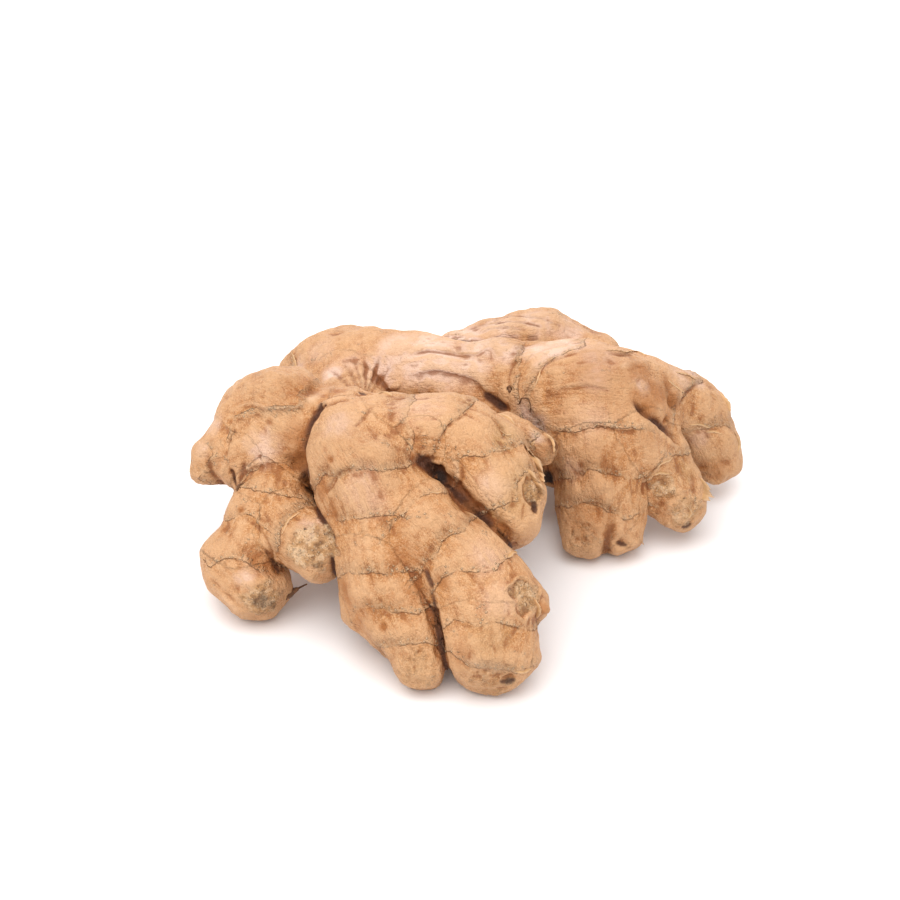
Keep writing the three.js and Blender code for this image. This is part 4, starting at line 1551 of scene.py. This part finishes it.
# Hairs and stubs: pixels along them, how far each point stands off the skin in millimetres,
# thickness in shares of the setting, and how thick the tip is in shares of the root.
HAIRS = [
    ([(518, 405), (521, 401), (524, 398.6), (527, 397.4), (530, 398.2), (532, 400.6), (532.8, 404),
      (532, 408), (530.4, 411.4)], (-0.6, 0.6, 1.2, 1.5, 1.6, 1.5, 1.2, 0.7, 0.2), 1.0, 0.6),
    ([(287, 597), (291, 594.5), (294, 592.5), (297, 591), (300, 589.5)],
     (-1.0, -0.6, -0.6, -0.6, -0.6), 6.0, 0.3),
    ([(293, 593), (299, 589), (304, 586), (309, 584)], (-0.6, -0.6, -0.6, -0.6), 1.4, 0.5),
    ([(237, 491), (241, 486), (245, 482)], (0.2, 0.6, -0.3), 1.3, 0.7),
    ([(508, 386), (509, 389), (510, 392)], (0.3, 0.5, 0.1), 2.2, 0.8),
]
TYPICAL_DEPTH = 560.0


def hair_paths(surface):
    """Each hair's path in millimetres, its thickness and its taper. A point whose pixel misses
    the skin keeps the last one's depth."""
    for pixels, stand, width, taper in HAIRS:
        path, last = [], None
        for pixel, off in zip(pixels, stand):
            hit = surface.seen(pixel)
            if hit:
                last = hit
            origin, direction = photo_ray(*pixel)
            reference = last or surface.nearest(origin + direction * TYPICAL_DEPTH)
            depth = (reference[0] - origin) @ direction
            path.append(origin + direction * depth + reference[1] * off)
        yield path, width, taper


# ---------------------------------------------------------------------------------------------
# Operators


class GINGER_OT_grow_skin(bpy.types.Operator):
    """Model the rhizome's skin over its fingers and paint it"""

    bl_idname = "ginger.grow_skin"
    bl_label = "Grow skin"

    def execute(self, context):
        settings = context.scene.ginger_skin
        piece = fuse_fingers(settings.voxel)
        flatten_facets(piece, spacing=11.0, amount=0.5, seed=5)
        rings = all_rings(Surface(piece))
        model_relief(piece, rings, settings)
        share = settings.triangles / count_triangles(piece.data)
        if share < 1:
            apply_modifier(piece, "DECIMATE", ratio=share)
        activate(piece)
        bpy.ops.object.shade_smooth()
        mark_skin(piece, rings)
        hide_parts(CAD_NODE)
        dress(piece, skin_material(settings))
        return {"FINISHED"}


class GINGER_OT_add_scales(bpy.types.Operator):
    """Add the dry scale scraps along the rings and at the fingertips"""

    bl_idname = "ginger.add_scales"
    bl_label = "Add dry scales"

    def execute(self, context):
        settings = context.scene.ginger_scale
        surface = Surface(bpy.data.objects[SKIN_PIECE])
        strips = ring_strips(surface, all_rings(surface), settings) + torn_strips(surface)
        piece = join(strips, SCALE_PIECE)
        apply_modifier(piece, "SOLIDIFY", thickness=settings.thickness, offset=0.0)
        activate(piece)
        bpy.ops.object.shade_smooth()
        dress(piece, scale_material(settings))
        return {"FINISHED"}


class GINGER_OT_add_hairs(bpy.types.Operator):
    """Add the curled root hair and the dry root stubs"""

    bl_idname = "ginger.add_hairs"
    bl_label = "Add root hairs"

    def execute(self, context):
        settings = context.scene.ginger_hair
        surface = Surface(bpy.data.objects[SKIN_PIECE])
        hairs = [add_hair(path, settings.thickness * share, taper)
                 for path, share, taper in hair_paths(surface)]
        piece = join(hairs, HAIR_PIECE)
        bpy.ops.object.shade_smooth()
        dress(piece, hair_material(settings))
        return {"FINISHED"}


class GINGER_OT_set_stage(bpy.types.Operator):
    """Set the floor, the soft lights and the camera"""

    bl_idname = "ginger.set_stage"
    bl_label = "Set stage"

    def execute(self, context):
        settings = context.scene.ginger_stage
        scene = context.scene
        deselect()
        bpy.ops.mesh.primitive_plane_add(size=settings.floor_size)
        floor = context.object
        floor.name = "pale_floor"
        floor.data.materials.append(floor_material(tuple(settings.floor_colour)))

        world = bpy.data.worlds.new("soft_white")
        world.use_nodes = True
        background = world.node_tree.nodes["Background"]
        background.inputs["Color"].default_value = (1.0, 0.985, 0.99, 1.0)
        background.inputs["Strength"].default_value = settings.sky
        scene.world = world
        aim = Vector((0.0, 0.0, 0.02))
        lights = [("top_softbox", (-0.16, -0.34, 1.16), 1.3, settings.key, (1.0, 0.985, 0.98)),
                  ("back_softbox", (0.10, 1.30, 0.75), 1.0, settings.rim, (1.0, 0.97, 0.97))]
        for name, place, size, power, colour in lights:
            bpy.ops.object.light_add(type="AREA", location=place)
            light = context.object
            light.name = name
            light.rotation_euler = (aim - Vector(place)).to_track_quat("-Z", "Y").to_euler()
            light.data.size = size
            light.data.energy = power
            light.data.color = colour

        bpy.ops.object.camera_add(location=(np.array(AIM) - FORWARD * CAMERA_REACH) * MM,
                                  rotation=(math.radians(90 - CAMERA_TILT), 0, 0))
        scene.camera = context.object
        scene.camera.data.lens = LENS
        scene.camera.data.sensor_width = SENSOR_WIDTH
        scene.camera.data.clip_start = 0.02
        scene.view_settings.view_transform = "Standard"
        return {"FINISHED"}


class GINGER_PT_panel(bpy.types.Panel):
    """Ginger root in the sidebar"""

    bl_label = "Ginger root"
    bl_idname = "GINGER_PT_panel"
    bl_space_type = "VIEW_3D"
    bl_region_type = "UI"
    bl_category = "Ginger"

    def draw(self, context):
        for pointer, (group, operator) in GROUPS.items():
            box = self.layout.box()
            for name in group.__annotations__:
                box.prop(getattr(context.scene, pointer), name)
            box.operator(operator)


# Each group of settings, with the operator that uses it.
GROUPS = {
    "ginger_skin": (GingerSkinSettings, "ginger.grow_skin"),
    "ginger_scale": (GingerScaleSettings, "ginger.add_scales"),
    "ginger_hair": (GingerHairSettings, "ginger.add_hairs"),
    "ginger_stage": (GingerStageSettings, "ginger.set_stage"),
}
CLASSES = (*(group for group, _ in GROUPS.values()), GINGER_OT_grow_skin, GINGER_OT_add_scales,
           GINGER_OT_add_hairs, GINGER_OT_set_stage, GINGER_PT_panel)


def register():
    for kind in CLASSES:
        bpy.utils.register_class(kind)
    for pointer, (group, _) in GROUPS.items():
        setattr(bpy.types.Scene, pointer, PointerProperty(type=group))


def unregister():
    for pointer in GROUPS:
        delattr(bpy.types.Scene, pointer)
    for kind in reversed(CLASSES):
        bpy.utils.unregister_class(kind)


def main():
    register()
    bpy.ops.ginger.set_stage()
    bpy.ops.ginger.grow_skin()
    bpy.ops.ginger.add_scales()
    bpy.ops.ginger.add_hairs()


if __name__ == "__main__":
    main()
